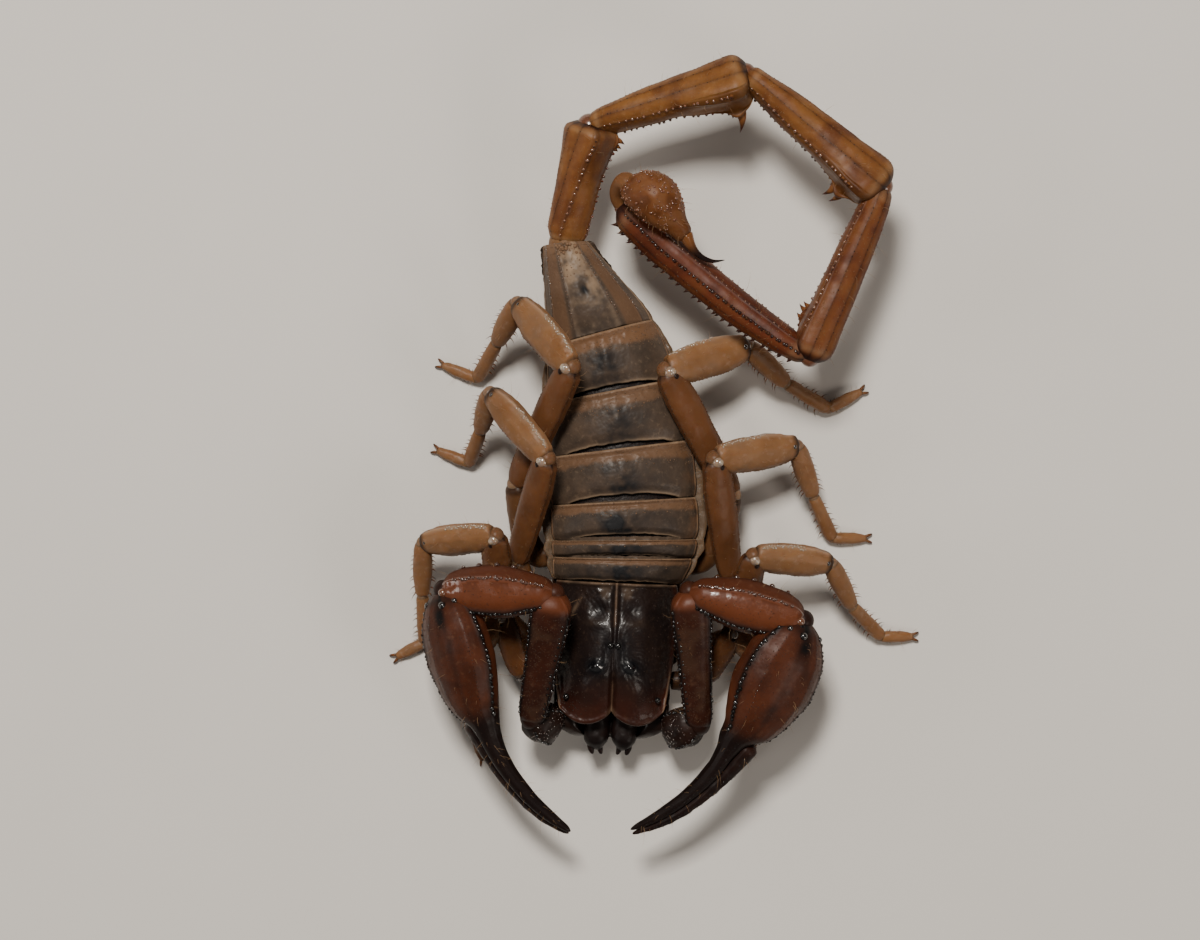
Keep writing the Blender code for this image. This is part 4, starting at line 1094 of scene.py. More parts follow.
# %% Build the jaws
JAW_HEIGHT = 3.9
# Out from the midline and forward, along the middle of a palm.
JAW_PALM = [(1.08, 8.7), (1.08, 10.5), (1.06, 12.3), (0.9, 13.2)]
JAW_PALM_SIZES = [(0.0, 0.85, 0.85), (0.4, 1.0, 0.98), (0.75, 0.98, 1.0), (1.0, 0.55, 0.62)]
# How far out each finger's root lies, at what height, and how thick it is.
JAW_FINGERS = ((0.72, 3.75, 0.30), (1.42, 3.85, 0.34))

for side, sign in SIDES:
    piece = Piece()
    path = [ahead(sign * out, forward, JAW_HEIGHT) for out, forward in JAW_PALM]
    limb = Limb(path, JAW_PALM_SIZES, UP, caps=(0.08, 0.16), rows=50, columns=48)
    limb.roughen(0.03, 0.4, 3)
    # Painted almost black: partly the jaws' own dark colour, partly painted shade from the shield above.
    piece.skin(limb, 0.9 + 0.08 * step(0.55, 0.95, limb.part), 0.0, 0.2)
    for out, height, thick in JAW_FINGERS:
        tips = [(out, 12.4), (out + 0.05, 13.0), (out - 0.12, 13.55)]
        path = [ahead(sign * a, b, height) for a, b in tips]
        sizes = [(0.0, thick, thick), (0.6, thick * 0.75, thick * 0.8), (1.0, 0.12, 0.12)]
        piece.skin(Limb(path, sizes, UP, caps=(0.1, 0.12), rows=20, columns=20), 0.9, 0.0, 0.1)
    if side == "l":  # the lip between the jaws goes with the left one
        piece.ball(ahead(0.0, 11.3, 3.3), 0.8, (0.85, 0.0, 0.1), (0.8, 1.0, 0.8))
    place_piece(piece, "chelicera_" + side, ARM)
print("jaws ready:", len(PIECES), "pieces so far")

# %% [markdown]
# ## Legs
# Eight walking legs, each with six tubes: trochanter, thigh, knee piece, shin and two foot
# pieces, then a pair of claws. Their shell is thin and honey-brown, so some light goes into it.
# At every joint a soft ball of skin shows between two dark rims, with pale polished hinge knobs.

# %% Where the legs run
# Per pair: its hip (out, forward, up), the lengths of the six tubes, and its girth.
LEG_PAIRS = {
    1: ((4.56, 7.6, 2.9), (1.7, 5.0, 4.9, 3.6, 3.2, 2.3), 0.80),
    2: ((5.06, 5.0, 3.0), (3.3, 7.6, 6.4, 4.8, 4.4, 2.5), 0.94),
    3: ((5.06, 2.0, 3.0), (4.0, 9.9, 7.1, 4.8, 4.4, 2.7), 1.00),
    4: ((5.06, -1.8, 2.8), (6.2, 11.4, 7.3, 4.8, 4.6, 3.0), 1.05),
}
HIP_TIP = 1.3
# Per leg: heading and pitch of trochanter, thigh and knee piece, then the headings of shin, heel
# and toe.
LEG_POSES = {
    "1_l": ((10, 32), (61, 28), (-46, -27), (-94, -111, -128)),
    "2_l": ((18, 22), (77, 30), (-6, -18), (-62, -45, 0)),
    "3_l": ((46, 24), (98, 21), (9, -23), (-70, -64, 0)),
    "4_l": ((64, 20), (118.5, 17), (17, -24), (-42, -30, 28)),
    "1_r": ((172, 36), (106, 20), (-132, -24), (-88, -79, -74)),
    "2_r": ((140, 14), (93, 34), (-174, -26), (-92, -89, -153)),
    "3_r": ((112, 26), (73, 33), (131, -19), (-107, -112, 158)),
    "4_r": ((106, 22), (64, 29), (130, -27), (-120, -121, 158)),
}
ANKLE_HEIGHT = 0.62
TOE_HEIGHT = 0.36
SOLE = 0.16
SOLE_BLEND = 0.4


def leg_places(leg):
    """A leg's joints, from its hip to its toe. The shin falls at the slope that brings the
    ankle down to its height over the floor."""
    pair, sign = int(leg[0]), 1 if leg[-1] == "l" else -1
    (out, forward, height), lengths, _ = LEG_PAIRS[pair]
    *upper, lower = LEG_POSES[leg]
    moves = [(HIP_TIP, SHIELD_HEADING - 90 * sign, 0)]
    moves += [(length, heading, pitch) for length, (heading, pitch) in zip(lengths, upper)]
    places = walk(ahead(sign * out, forward, height), moves)
    drop = math.degrees(math.asin((places[-1][2] - ANKLE_HEIGHT) / (lengths[3] + lengths[4])))
    sole = math.degrees(math.asin((ANKLE_HEIGHT - TOE_HEIGHT) / lengths[5]))
    rest = walk(places[-1], list(zip(lengths[3:], lower, (-drop, -drop, -sole))))
    return np.concatenate([places, rest[1:]])


def press_sole(grid):
    """Presses what lies under the sole's height flat on the floor.

    Between there and the blend's height, the heights are spread evenly from nought up.
    """
    height = grid[..., 2]
    pressed = np.maximum(0.0, (height - SOLE) * SOLE_BLEND / (SOLE_BLEND - SOLE))
    flat = grid.copy()
    flat[..., 2] = np.where(height < SOLE_BLEND, pressed, height)
    return flat


# %% [markdown]
# ### One leg at a time
# The sections of the tubes grow with the girth of the pair: part of the way along, half width,
# half thickness. The thickness lies along the hinge of the knee, so the leg is widest in the
# plane in which it bends.

# %% Build the legs
TROCHANTER = [(0.0, 0.85, 0.8), (0.3, 0.98, 0.86), (0.75, 1.0, 0.86), (1.0, 0.76, 0.7)]
THIGH = [(0.0, 0.66, 0.6), (0.12, 0.95, 0.7), (0.35, 1.1, 0.77), (0.7, 1.18, 0.82), (0.92, 1.02, 0.8),
         (1.0, 0.84, 0.72)]
KNEE_PIECE = [(0.0, 0.8, 0.7), (0.14, 1.14, 0.8), (0.35, 1.32, 0.85), (0.62, 1.34, 0.88),
              (0.86, 1.04, 0.8), (1.0, 0.7, 0.62)]
SHIN = [(0.0, 0.58, 0.56), (0.2, 0.78, 0.72), (0.45, 0.82, 0.74), (0.8, 0.7, 0.64), (1.0, 0.52, 0.5)]
HEEL = [(0.0, 0.42, 0.42), (0.15, 0.52, 0.5), (0.8, 0.55, 0.53), (1.0, 0.46, 0.45)]
TOE = [(0.0, 0.38, 0.4), (0.3, 0.46, 0.48), (0.6, 0.44, 0.44), (1.0, 0.26, 0.3)]
CLAW = [(0, 0.13, 0.13), (0.5, 0.10, 0.10), (1, 0.025, 0.025)]
# The balls on each end of a hinge, in shares of the joint's size: how far out along the hinge,
# back along the tube before it and on along the next, then the radius, and the ball's marks.
HINGE_BALLS = [
    (0.0, 0.12, 0.0, 0.56, (0.0, 0.35, 2.0)),
    (1.6, 0.10, 0.12, 0.36, (0.0, 0.55, 2.0)),
    (1.0, 0.62, 0.22, 0.34, (1.0, 0.0, 0.0)),
    (0.6, 0.0, 0.72, 0.26, (0.9, 0.0, 0.0)),
]
# The limbs that bear bristles, each with how many.
HAIRY = {"legs": [], "arms": [], "tail": []}


def grown(sections, girth):
    """A table of sections with every size multiplied by the girth."""
    return [(part, *(girth * size for size in sizes)) for part, *sizes in sections]


def joint(piece, place, before, after, axis, size):
    """A soft ball of skin at a joint, and the pale and the dark knobs at both ends of its hinge."""
    piece.ball(place, size * 0.84, (0.35, 0.05, 0.4))
    for sign in (1, -1):
        knob = place + axis * sign * size * 0.50
        lift = axis * sign * size * 0.16
        for out, back, onward, radius, marks in HINGE_BALLS:
            centre = knob + lift * out - before * size * back + after * size * onward
            piece.ball(centre, size * radius, marks)


def row_of(limb, count, low, high, angle, seed, wander=3.0):
    """Places and normals in a row along a limb, with a little unevenness."""
    rng = np.random.default_rng(seed)
    return limb.at(scatter(count, low, high, seed), angle + rng.normal(0, wander, count))


for number, leg in enumerate(LEG_POSES):
    places, girth, sign = leg_places(leg), LEG_PAIRS[int(leg[0])][2], 1 if leg[-1] == "l" else -1
    run = unit(np.diff(places, axis=0))
    axis = unit(np.cross(run[2], run[3]))
    axis = axis if axis[2] > 0 else -axis
    name, seed = "leg" + leg + "_", 100 + number * 10
    rng = np.random.default_rng(seed)
    # Painted shade: the first pair lies under the arms, so its pieces are painted darker.
    painted_shade_first_pair = float(leg[0] == "1")  # the first pair is darker

    piece = Piece()
    limb = Limb(places[:3], grown(TROCHANTER, girth), axis, mirror=sign, caps=(0.05, 0.1), rows=40,
                extend=(0, 0.3))
    limb.roughen(0.03, 0.5, seed)
    rim = step(0.86, 0.92, limb.part) * step(0.99, 0.95, limb.part)
    piece.skin(limb, 0.45 + 0.4 * rim + 0.4 * painted_shade_first_pair, 0.0, 0.25)
    piece.ball(places[2], girth * 0.66, (0.3 + 0.4 * painted_shade_first_pair, 0.2, 0.1))
    keels = [(18, 0.08), (162, 0.08), (200, 0.04), (340, 0.04)]
    limb = Limb(places[2:4], grown(THIGH, girth), axis, keels, mirror=sign, caps=(0.06, 0.08), rows=60,
                extend=(0.25, 0.25))
    limb.roughen(0.035, 0.55, seed + 1)
    rim = step(0.93, 0.965, limb.part)
    edge = limb.near(18, 9) + limb.near(162, 9)
    dark = 0.34 + 0.12 * limb.cloud(1.4, seed + 2) + 0.45 * rim + 0.25 * edge
    piece.skin(limb, dark * step(0.0, 0.12, limb.part + 0.08), 0.0, 0.7)
    for angle in (18, 162):
        spots = row_of(limb, 26, 0.12, 0.92, angle, seed + angle)
        piece.beads(*spots, 0.05 + 0.03 * rng.uniform(0, 1, 26), paint(0.75, 0.0, 0.0), 0.7)
    HAIRY["legs"].append((limb, 26))
    joint(piece, places[3], run[2], run[3], axis, girth * 0.86)
    place_piece(piece, name + "femur", LEG)

    piece = Piece()
    keels = [(14, 0.10), (166, 0.07), (75, 0.03), (205, 0.04), (335, 0.04)]
    limb = Limb(places[3:5], grown(KNEE_PIECE, girth), axis, keels, mirror=sign, caps=(0.08, 0.07), rows=60,
                extend=(0.2, 0.2))
    limb.roughen(0.04, 0.6, seed + 3)
    cloud = limb.cloud(1.2, seed + 4)
    ends = step(0.07, 0.03, limb.part) + 1.3 * step(0.87, 0.95, limb.part)
    upper = limb.near(14, 10) * step(0.05, 0.15, limb.part)
    dark = 0.16 * step(0.1, 0.7, cloud) + 0.25 * limb.near(166, 16) + 0.7 * ends
    piece.skin(limb, dark, 0.05 + 0.22 * upper + 0.05 * cloud, 0.1)
    grains = limb.at(scatter(34, 0.08, 0.6, seed + 5), 16 + rng.uniform(-9, 9, 34))
    piece.beads(*grains, 0.06 + 0.05 * rng.uniform(0, 1, 34), paint(0.0, 0.5, 2.0), 0.8)
    spots = row_of(limb, 24, 0.12, 0.9, 166, seed + 6)
    piece.beads(*spots, 0.05 + 0.03 * rng.uniform(0, 1, 24), paint(0.7, 0.0, 0.0), 0.7)
    HAIRY["legs"].append((limb, 34))
    joint(piece, places[4], run[3], run[4], UP, girth * 0.62)
    piece.ball(places[4] + UP * girth * 0.72 - run[3] * 0.25, 0.22 * girth, (1.3, 0.0, 0.0))
    place_piece(piece, name + "patella", LEG)

    piece = Piece()
    # Per tube: its sections, the size of the ball at its root, and its numbers of bristles.
    tubes = (grown(SHIN, girth), 0.56 * girth, 24), (HEEL, 0.44, 20), (TOE, 0.38, 14)
    for k, (sections, ball, bristles) in enumerate(tubes):
        limb = Limb(places[4 + k : 6 + k], sections, UP, mirror=sign, caps=(0.08, 0.08), rows=44,
                    columns=44, extend=(0.1 if k else 0.15, 0.1))
        limb.roughen(0.025, 0.4, seed + 7 + k)
        cloud = limb.cloud(1.0, seed + 5)
        ends = step(0.08, 0.03, limb.part) + step(0.93, 0.97, limb.part)
        # painted shade on the first pair's feet
        dark = 0.45 * ends + 0.12 * step(0.2, 0.7, cloud) + 0.6 * painted_shade_first_pair
        marks = paint(dark, 0.04 + 0.04 * cloud, 0.25 - 0.08 * k)
        piece.shell(press_sole(limb.surface.grid), marks)
        piece.ball(places[4 + k], ball, (0.3, 0.2, 0.1))
        if k < 2:
            spines = 8 - 2 * k
            long = 0.42 + 0.3 * np.linspace(0, 1, spines)
            for angle in (-32, 212):
                spots, normals = limb.at(scatter(spines, 0.25, 0.97, seed + 9 + k), angle)
                piece.thorns(spots, normals, run[4 + k] * 0.9, long, 0.07, (0.25, 0.1, 0.1))
        else:
            for angle in (-40, 220):
                spots, normals = limb.at(scatter(9, 0.15, 0.92, seed + 9), angle)
                keep = spots[:, 2] > 0.22
                level = unit(normals * (1, 1, 0.15))
                piece.thorns(spots[keep], level[keep], run[6] * 0.7, 0.26, 0.06, (0.5, 0.0, 0.1))
        HAIRY["legs"].append((limb, bristles))
    place_piece(piece, name + "foot", LEG)

    piece = Piece()
    level = unit(run[6] * (1, 1, 0))
    side = np.cross(UP, level)
    for turn in (-1, 1):
        start = places[7] - run[6] * 0.15 + side * turn * 0.1
        arc = [start, start + level * 0.30 + side * turn * 0.12 + UP * 0.05,
               start + level * 0.54 + side * turn * 0.21 - UP * 0.05,
               start + level * 0.66 + side * turn * 0.25 - UP * (start[2] - 0.09)]
        claw = Limb(arc, CLAW, UP, caps=(0.1, 0.1), rows=16, columns=14)
        piece.skin(claw, 0.35 + 0.6 * step(0.3, 0.9, claw.part), 0, 0.1)
    place_piece(piece, name + "claws", LEG, name + "foot")
print("legs ready:", len(PIECES), "pieces so far")

# %% [markdown]
# ## Pincer arms
# The arms are the darkest part after the head: red-brown to black and very glossy. Their edges
# carry keels of polished beads. The palm is a swollen flask, and its two fingers close along
# rows of small teeth. The sections use the same sizes as the CAD, rounded and keeled.

# %% Where the arms run
ARM_ROOT = (4.46, 11.5, 3.9)
ARM_LENGTHS = (3.1, 11.0, 9.0, 11.0)
FINGER_STEP = 2.7
FINGER_TURN = 9.5
# Heading and pitch of trochanter, upper arm, forearm and palm, then the roll of the fingers.
ARM_POSES = {
    "l": ((15, 36), (94.5, 18), (-14.5, -1), (-117, -6), 25),
    "r": ((155, 54), (79.5, 25), (179, -19), (-74.5, -4), 60),
}
ARM_TROCHANTER = [(0.0, 1.25, 1.15), (0.3, 1.6, 1.45), (0.7, 1.55, 1.4), (1.0, 1.05, 1.05)]
ARM_FEMUR = [(0.0, 0.95, 0.95), (0.15, 1.15, 1.15), (0.5, 1.35, 1.2), (0.84, 1.6, 1.35), (1.0, 1.2, 1.15)]
ARM_PATELLA = [(0.0, 0.95, 1.0), (0.13, 1.35, 1.3), (0.5, 2.02, 1.52), (0.78, 1.78, 1.45), (1.0, 1.0, 1.1)]
# Part of the way from wrist to fingertip, half width, half thickness, shift to the movable side.
ARM_PALM = [
    (0.0, 1.1, 1.1, 0.0), (0.035, 1.7, 1.4, 0.0), (0.07, 2.3, 1.7, 0.0), (0.15, 3.1, 2.2, 0.0),
    (0.25, 3.3, 2.3, 0.0), (0.35, 2.8, 2.1, -0.05), (0.434, 2.0, 1.7, -0.1), (0.50, 1.05, 1.15, -0.72),
    (0.56, 0.72, 0.86, -0.66), (0.628, 0.6, 0.72, -0.52), (0.752, 0.50, 0.6, -0.44),
    (0.876, 0.40, 0.48, -0.36), (1.0, 0.18, 0.22, -0.22),
]
ARM_FINGER = [
    (0.0, 0.95, 1.1, 0.72), (0.12, 0.78, 0.95, 0.64), (0.3, 0.6, 0.72, 0.50), (0.5, 0.50, 0.6, 0.42),
    (0.75, 0.38, 0.46, 0.33), (1.0, 0.16, 0.20, 0.20),
]


def keel_beads(piece, limb, rows, seed, dark):
    """Rows of beads along a limb: each row is (angle, count, from, to, smallest, largest)."""
    for k, (angle, count, low, high, small, large) in enumerate(rows):
        rng = np.random.default_rng(seed + k)
        sizes = small + (large - small) * rng.uniform(0, 1, count)
        marks = paint(dark * rng.uniform(0.9, 1.5, count), 0.06 * rng.uniform(0, 1, count), 0.0)
        piece.beads(*row_of(limb, count, low, high, angle, seed + k, 1.0), sizes, marks, 0.85)


def grit(piece, limb, count, angles, parts, sizes, seed, marks):
    """Fine granules strewn over a stretch of a limb between two angles."""
    rng = np.random.default_rng(seed)
    spots = limb.at(rng.uniform(*parts, count), rng.uniform(*angles, count))
    piece.beads(*spots, rng.uniform(*sizes, count), marks, 0.6)


# %% Build the upper arms
HANDS = {}
for side, sign in SIDES:
    out, forward, height = ARM_ROOT
    moves = [(length, *aim) for length, aim in zip(ARM_LENGTHS, ARM_POSES[side][:4])]
    places = walk(ahead(sign * out, forward, height), moves)
    run = unit(np.diff(places, axis=0))
    name, seed = "pedipalp_" + side + "_", 300 + 50 * (sign > 0)
    rng = np.random.default_rng(seed)

    piece = Piece()
    keels = [(40, 0.08), (140, 0.08)]
    limb = Limb(places[:2], ARM_TROCHANTER, UP, keels, mirror=sign, caps=(0.40, 0.40), rows=40,
                extend=(0.3, 0.35))
    limb.roughen(0.05, 0.5, seed)
    cloud = limb.cloud(0.9, seed, 1)
    piece.skin(limb, 0.80 + 0.15 * cloud, 0.03, 0.2 * step(0.0, 0.6, cloud))
    grit(piece, limb, 150, (0, 180), (0.1, 0.9), (0.04, 0.085), seed + 1, paint(0.8, 0.1, 2.0))
    rows = [(40, 9, 0.15, 0.9, 0.11, 0.17), (140, 9, 0.15, 0.9, 0.10, 0.16)]
    keel_beads(piece, limb, rows, seed + 2, 1.0)
    piece.ball(places[1], 0.9, (0.75, 0.0, 0.2))
    place_piece(piece, name + "trochanter", ARM)

    piece = Piece()
    keels = [(38, 0.10), (142, 0.10), (222, 0.06), (318, 0.06)]
    limb = Limb(places[1:3], ARM_FEMUR, UP, keels, mirror=sign, caps=(0.08, 0.10), rows=90, columns=88,
                squareness=0.8, extend=(0.35, 0.15), keel_width=7.0)
    limb.roughen(0.03, 0.8, seed + 3)
    cloud = limb.cloud(1.3, seed + 4)
    elbow = step(0.86, 0.93, limb.part)
    edges = limb.near(38, 8) + limb.near(142, 8)
    dark = np.clip(0.35 + 0.65 * edges + 0.2 * cloud, 0, 1) * (1 - elbow)
    dark = dark + 0.7 * step(0.985, 0.995, limb.part)
    pale = 0.12 * step(0.1, 0.7, cloud) * (1 - edges) * (1 - elbow)
    piece.skin(limb, dark, pale, 0.75 * elbow)
    rows = [
        (38, 20, 0.08, 0.88, 0.10, 0.16), (52, 16, 0.10, 0.84, 0.07, 0.12), (142, 22, 0.08, 0.88, 0.09, 0.15),
        (318, 18, 0.1, 0.85, 0.06, 0.1), (0, 12, 0.1, 0.8, 0.06, 0.11),
    ]
    keel_beads(piece, limb, rows, seed + 5, 1.0)
    grit(piece, limb, 300, (56, 134), (0.06, 0.86), (0.03, 0.06), seed + 6, paint(0.45, 0.12, 0.0))
    piece.ball(places[2] - 0.3 * UP, 0.8, (0.55, 0.0, 0.6))
    HAIRY["arms"].append((limb, 30))
    place_piece(piece, name + "femur", ARM)

    piece = Piece()
    keels = [(14, 0.05), (62, 0.10), (138, 0.12), (250, 0.04), (325, 0.04)]
    limb = Limb(places[2:4], ARM_PATELLA, UP, keels, mirror=sign, caps=(0.12, 0.1), rows=84, columns=88,
                squareness=0.92, extend=(0.15, 0.2), keel_width=7.0)
    limb.roughen(0.025, 1.0, seed + 8)
    cloud = limb.cloud(1.2, seed + 9)
    ends = step(0.93, 0.98, limb.part)
    dark = limb.near(138, 9) + 0.3 * limb.near(62, 4) + 0.35 * limb.near(176, 22) + 0.5 * limb.near(12, 10)
    dark = dark + 0.12 * cloud + 0.6 * ends
    # A part of its upper side shines as if it were wet.
    wet = step(0.12, 0.25, limb.part) * limb.near(84, 13) * step(-0.15, 0.2, limb.cloud(0.45, seed + 7))
    gloss = limb.near(62, 7) + wet
    warm = 0.35 + 0.55 * limb.near(100, 30)
    warm = np.where(gloss > 0.4, 1.45 + 0.5 * np.clip(gloss, 0, 1), warm)
    piece.skin(limb, dark, 0.0, warm)
    rows = [
        (138, 24, 0.08, 0.92, 0.11, 0.18), (176, 14, 0.2, 0.85, 0.05, 0.09), (325, 16, 0.15, 0.85, 0.06, 0.1),
    ]
    keel_beads(piece, limb, rows, seed + 10, 1.0)
    spots = row_of(limb, 26, 0.06, 0.86, 62, seed + 15, 1.0)
    piece.beads(*spots, rng.uniform(0.11, 0.19, 26), (0.5, 0.0, 2.0), 0.9)
    spots = limb.at([0.2, 0.36, 0.5, 0.66, 0.8], [12, 10, 13, 11, 12])
    piece.beads(*spots, [0.18, 0.24, 0.24, 0.24, 0.18], paint(0.7, 0.0, 2.0), 0.9)
    grit(piece, limb, 130, (84, 160), (0.1, 0.9), (0.025, 0.05), seed + 11, paint(0.35, 0.05, 0.2))
    top = unit(np.cross(run[2], run[3]))
    top = top if top[2] > 0 else -top
    piece.ball(places[3], 0.85, (0.75, 0.0, 0.1))
    piece.ball(places[3] + top * 0.93 - run[2] * 0.25, 0.36, (0.3, 0.2, 2.0))
    piece.ball(places[3] + top * 0.92 + run[3] * 0.45, 0.3, (1.0, 0.0, 0.0))
    piece.ball(places[3] + top * 0.8 - run[2] * 0.9 + run[3] * 0.3, 0.26, (1.0, 0.0, 0.0))
    HAIRY["arms"].append((limb, 36))
    place_piece(piece, name + "patella", ARM)
    HANDS[side] = (places, run)
print("upper arms ready")

# %% [markdown]
# ### Hands and fingers
# The fingers open in a plane that is rolled about the palm: nearly level on the left hand, and
# steep on the right one. The fixed finger grows out of the palm and the movable one sits on
# the knuckle beside it.

# %% Build the hands
KEEL_ROLL = 22  # the roll at which the angles of the keels were chosen
FINGER_STEPS = 4

for side, sign in SIDES:
    places, run = HANDS[side]
    heading, pitch = ARM_POSES[side][3]
    turns = [-sign * FINGER_TURN * (k + 1) for k in range(FINGER_STEPS)]
    finger = walk(places[4], [(FINGER_STEP, heading + turn, pitch) for turn in turns])
    roll = math.radians(ARM_POSES[side][4])
    outward = direction(SHIELD_HEADING - 90 * sign)
    level = unit(np.cross(UP, run[3]))
    level = -level if level @ outward < 0 else level
    opening = math.cos(roll) * level - math.sin(roll) * UP
    opening = unit(opening - run[3] * (opening @ run[3]))
    face = np.cross(run[3], opening)
    face = face if face[2] > 0 else -face
    mirror = 1 if np.cross(face, run[3]) @ opening > 0 else -1
    name, seed = "pedipalp_" + side + "_", 400 + 50 * (sign > 0)
    rng = np.random.default_rng(seed)

    tilt = ARM_POSES[side][4] - KEEL_ROLL
    outer, second, middle, third, inner = (angle + tilt for angle in (16, 52, 88, 122, 152))
    piece = Piece()
    keels = [(outer, 0.05), (second, 0.02), (middle, -0.012), (third, 0.02), (inner, 0.05), (300, 0.03)]
    path = np.concatenate([[places[3]], finger])
    limb = Limb(path, ARM_PALM, face, keels, mirror=mirror, caps=(0.05, 0.03), rows=190, columns=104,
                squareness=0.98, extend=(0.2, 0.0), keel_width=5.0)
    limb.roughen(0.035, 1.3, seed)
    cloud = limb.cloud(1.1, seed + 1, 3)
    palm = step(0.5, 0.4, limb.part)
    wrist = step(0.07, 0.03, limb.part)
    keel = limb.near(outer, 7) + 0.6 * limb.near(outer - 14, 8) + 0.15 * limb.near(second, 4)
    keel = keel + 0.4 * limb.near(middle, 6) + limb.near(inner, 7)
    # Painted shade: a dark patch near the wrist stands for the shade in its hollow.
    hollow_shade = hump(0.085, 0.04, limb.part) * limb.near(middle - 10, 12)
    dark = (0.04 + 0.8 * np.clip(keel, 0, 1) + 0.25 * step(0.1, 0.7, cloud)) * palm
    dark = dark + 0.9 * (1 - palm) + 0.5 * wrist + hollow_shade
    warm = 0.22 + 0.15 * step(0.1, -0.6, cloud)
    warm = (warm + 0.4 * limb.near(outer - 30, 12) + 0.3 * limb.near(inner + 30, 12)) * palm
    piece.skin(limb, np.minimum(dark, 1.0), 0.0, warm)
    rows = [
        (outer, 34, 0.05, 0.48, 0.07, 0.12), (second, 30, 0.06, 0.44, 0.03, 0.05),
        (third, 30, 0.06, 0.44, 0.03, 0.05), (inner, 24, 0.05, 0.47, 0.13, 0.21),
        (300, 30, 0.08, 0.45, 0.05, 0.08),
    ]
    keel_beads(piece, limb, rows, seed + 2, 1.0)
    spots = limb.at([0.045, 0.05, 0.045], [outer + 8, middle + 4, third + 8])
    piece.beads(*spots, [0.24, 0.34, 0.26], paint(1.4, 0.0, 0.0), 0.8)
    rows = [
        (2, 34, 0.54, 0.97, 0.04, 0.075), (10, 14, 0.55, 0.95, 0.05, 0.085), (90, 26, 0.5, 0.95, 0.03, 0.06),
    ]
    keel_beads(piece, limb, rows, seed + 30, 0.9)
    grit(piece, limb, 420, (10, 170), (0.06, 0.47), (0.025, 0.055), seed + 3, paint(0.35, 0.05, 0.15))
    grit(piece, limb, 200, (20, 170), (0.47, 0.97), (0.02, 0.045), seed + 4, paint(0.8, 0.0, 0.0))
    HAIRY["arms"].append((limb, 90))
    place_piece(piece, name + "hand", ARM)

    piece = Piece()
    keels = [(178, 0.06), (60, 0.04), (120, 0.04)]
    limb = Limb(finger, ARM_FINGER, face, keels, mirror=mirror, caps=(0.07, 0.05), rows=96, columns=64,
                squareness=0.95, extend=(0.9, 0.0), keel_width=6.0)
    limb.roughen(0.04, 0.6, seed + 5)
    root = step(0.12, 0.03, limb.part)
    dark = 0.82 + 0.1 * limb.cloud(0.8, seed + 6) - 0.15 * root
    piece.skin(limb, dark, 0.0, 0.35 * limb.near(178, 10) + 0.1 * root)
    rows = [
        (178, 36, 0.12, 0.97, 0.04, 0.075), (170, 14, 0.15, 0.95, 0.05, 0.085),
        (90, 30, 0.1, 0.95, 0.03, 0.06), (30, 26, 0.1, 0.9, 0.03, 0.06),
    ]
    keel_beads(piece, limb, rows, seed + 7, 0.9)
    grit(piece, limb, 200, (0, 170), (0.08, 0.97), (0.02, 0.045), seed + 8, paint(0.8, 0.0, 0.0))
    HAIRY["arms"].append((limb, 30))
    place_piece(piece, name + "finger", ARM)
print("arms ready:", len(PIECES), "pieces so far")

# %% [markdown]
# ## The tail
# Five rings of amber shell, each with keels of dark granules. The two keels of the back run
# into teeth and end in a spine on the second and third ring. The tail curls forward beside the
# body with its back inside the curl, so its flank is what one sees from above.

# %% Where the tail runs
TAIL_HEIGHT = 5.5
# Per ring: length, heading, pitch, half width, half thickness in front, in the middle and behind,
# and the roll of its back at both ends.
TAIL_SEGMENTS = [
    (9.4, 78, 15, 1.75, (1.3, 1.55, 1.9), (70, 30)),
    (12.7, 18, 9, 1.6, (1.0, 1.4, 1.7), (20, 15)),
    (13.6, -39.5, 0, 1.55, (1.05, 1.5, 1.85), (8, 8)),
    (14.2, -113, -2, 1.5, (1.15, 1.42, 1.55), (8, 8)),
    (18.4, 141, -3, 1.4, (1.1, 1.35, 1.45), (20, 25)),
]
TAIL_PLACES = walk(SPINE_LINE[-1] + TAIL_HEIGHT * UP, [segment[:3] for segment in TAIL_SEGMENTS])
# The angle and height of each keel. The first two are those of the back.
TAIL_KEELS = [(52, 0.06), (128, 0.06), (12, 0.014), (168, 0.014), (-25, 0.012), (205, 0.012),
              (-60, 0.018), (240, 0.018), (270, 0.014)]
# Per ring: how far its middle bows away from its back, how far its back swells towards the end
# spines, and how far further under those of the lower keel.
TAIL_BOWS = (0, 0, 0, 0, 0.55)
CRESTS = (0.30, 0.85, 0.60, 0.25, 0.05)
HORNS = (0.25, 0.55, 0.60, 0.35, 0.0)
# Per ring: about where along it the end spines stand, and how long the three on a keel are.
SPINE_AT = (0.88, 0.855, 0.81, 0.785, 0.9)
SPINES = ((0.5, 0.4, 0.3), (1.35, 0.3, 0.25), (0.95, 1.1, 0.35), (0.5, 0.7, 0.6), (0.15, 0.1, 0.1))
SPINE_STEPS = np.array([0.012, -0.03, -0.055])
# Per ring: how much darker and how much warmer its shell is, and the ball of skin behind it.
TAIL_DARK = (0.0, 0.02, 0.06, 0.14, 0.22)
TAIL_WARM = (0.25, 0.02, 0.20, 0.6, 0.95)
TAIL_BALLS = (1.0, 0.8, 0.8, 0.75, 0.7)
LAST_RING = 4


def back_of_tail(k, part):
    """Where a ring's back faces: inside the curl, turned up by its roll."""
    heading, rolls = TAIL_SEGMENTS[k][1], TAIL_SEGMENTS[k][5]
    roll = np.radians(rolls[0] + (rolls[1] - rolls[0]) * part)[..., None]
    return np.cos(roll) * direction(heading - 90) + np.sin(roll) * UP


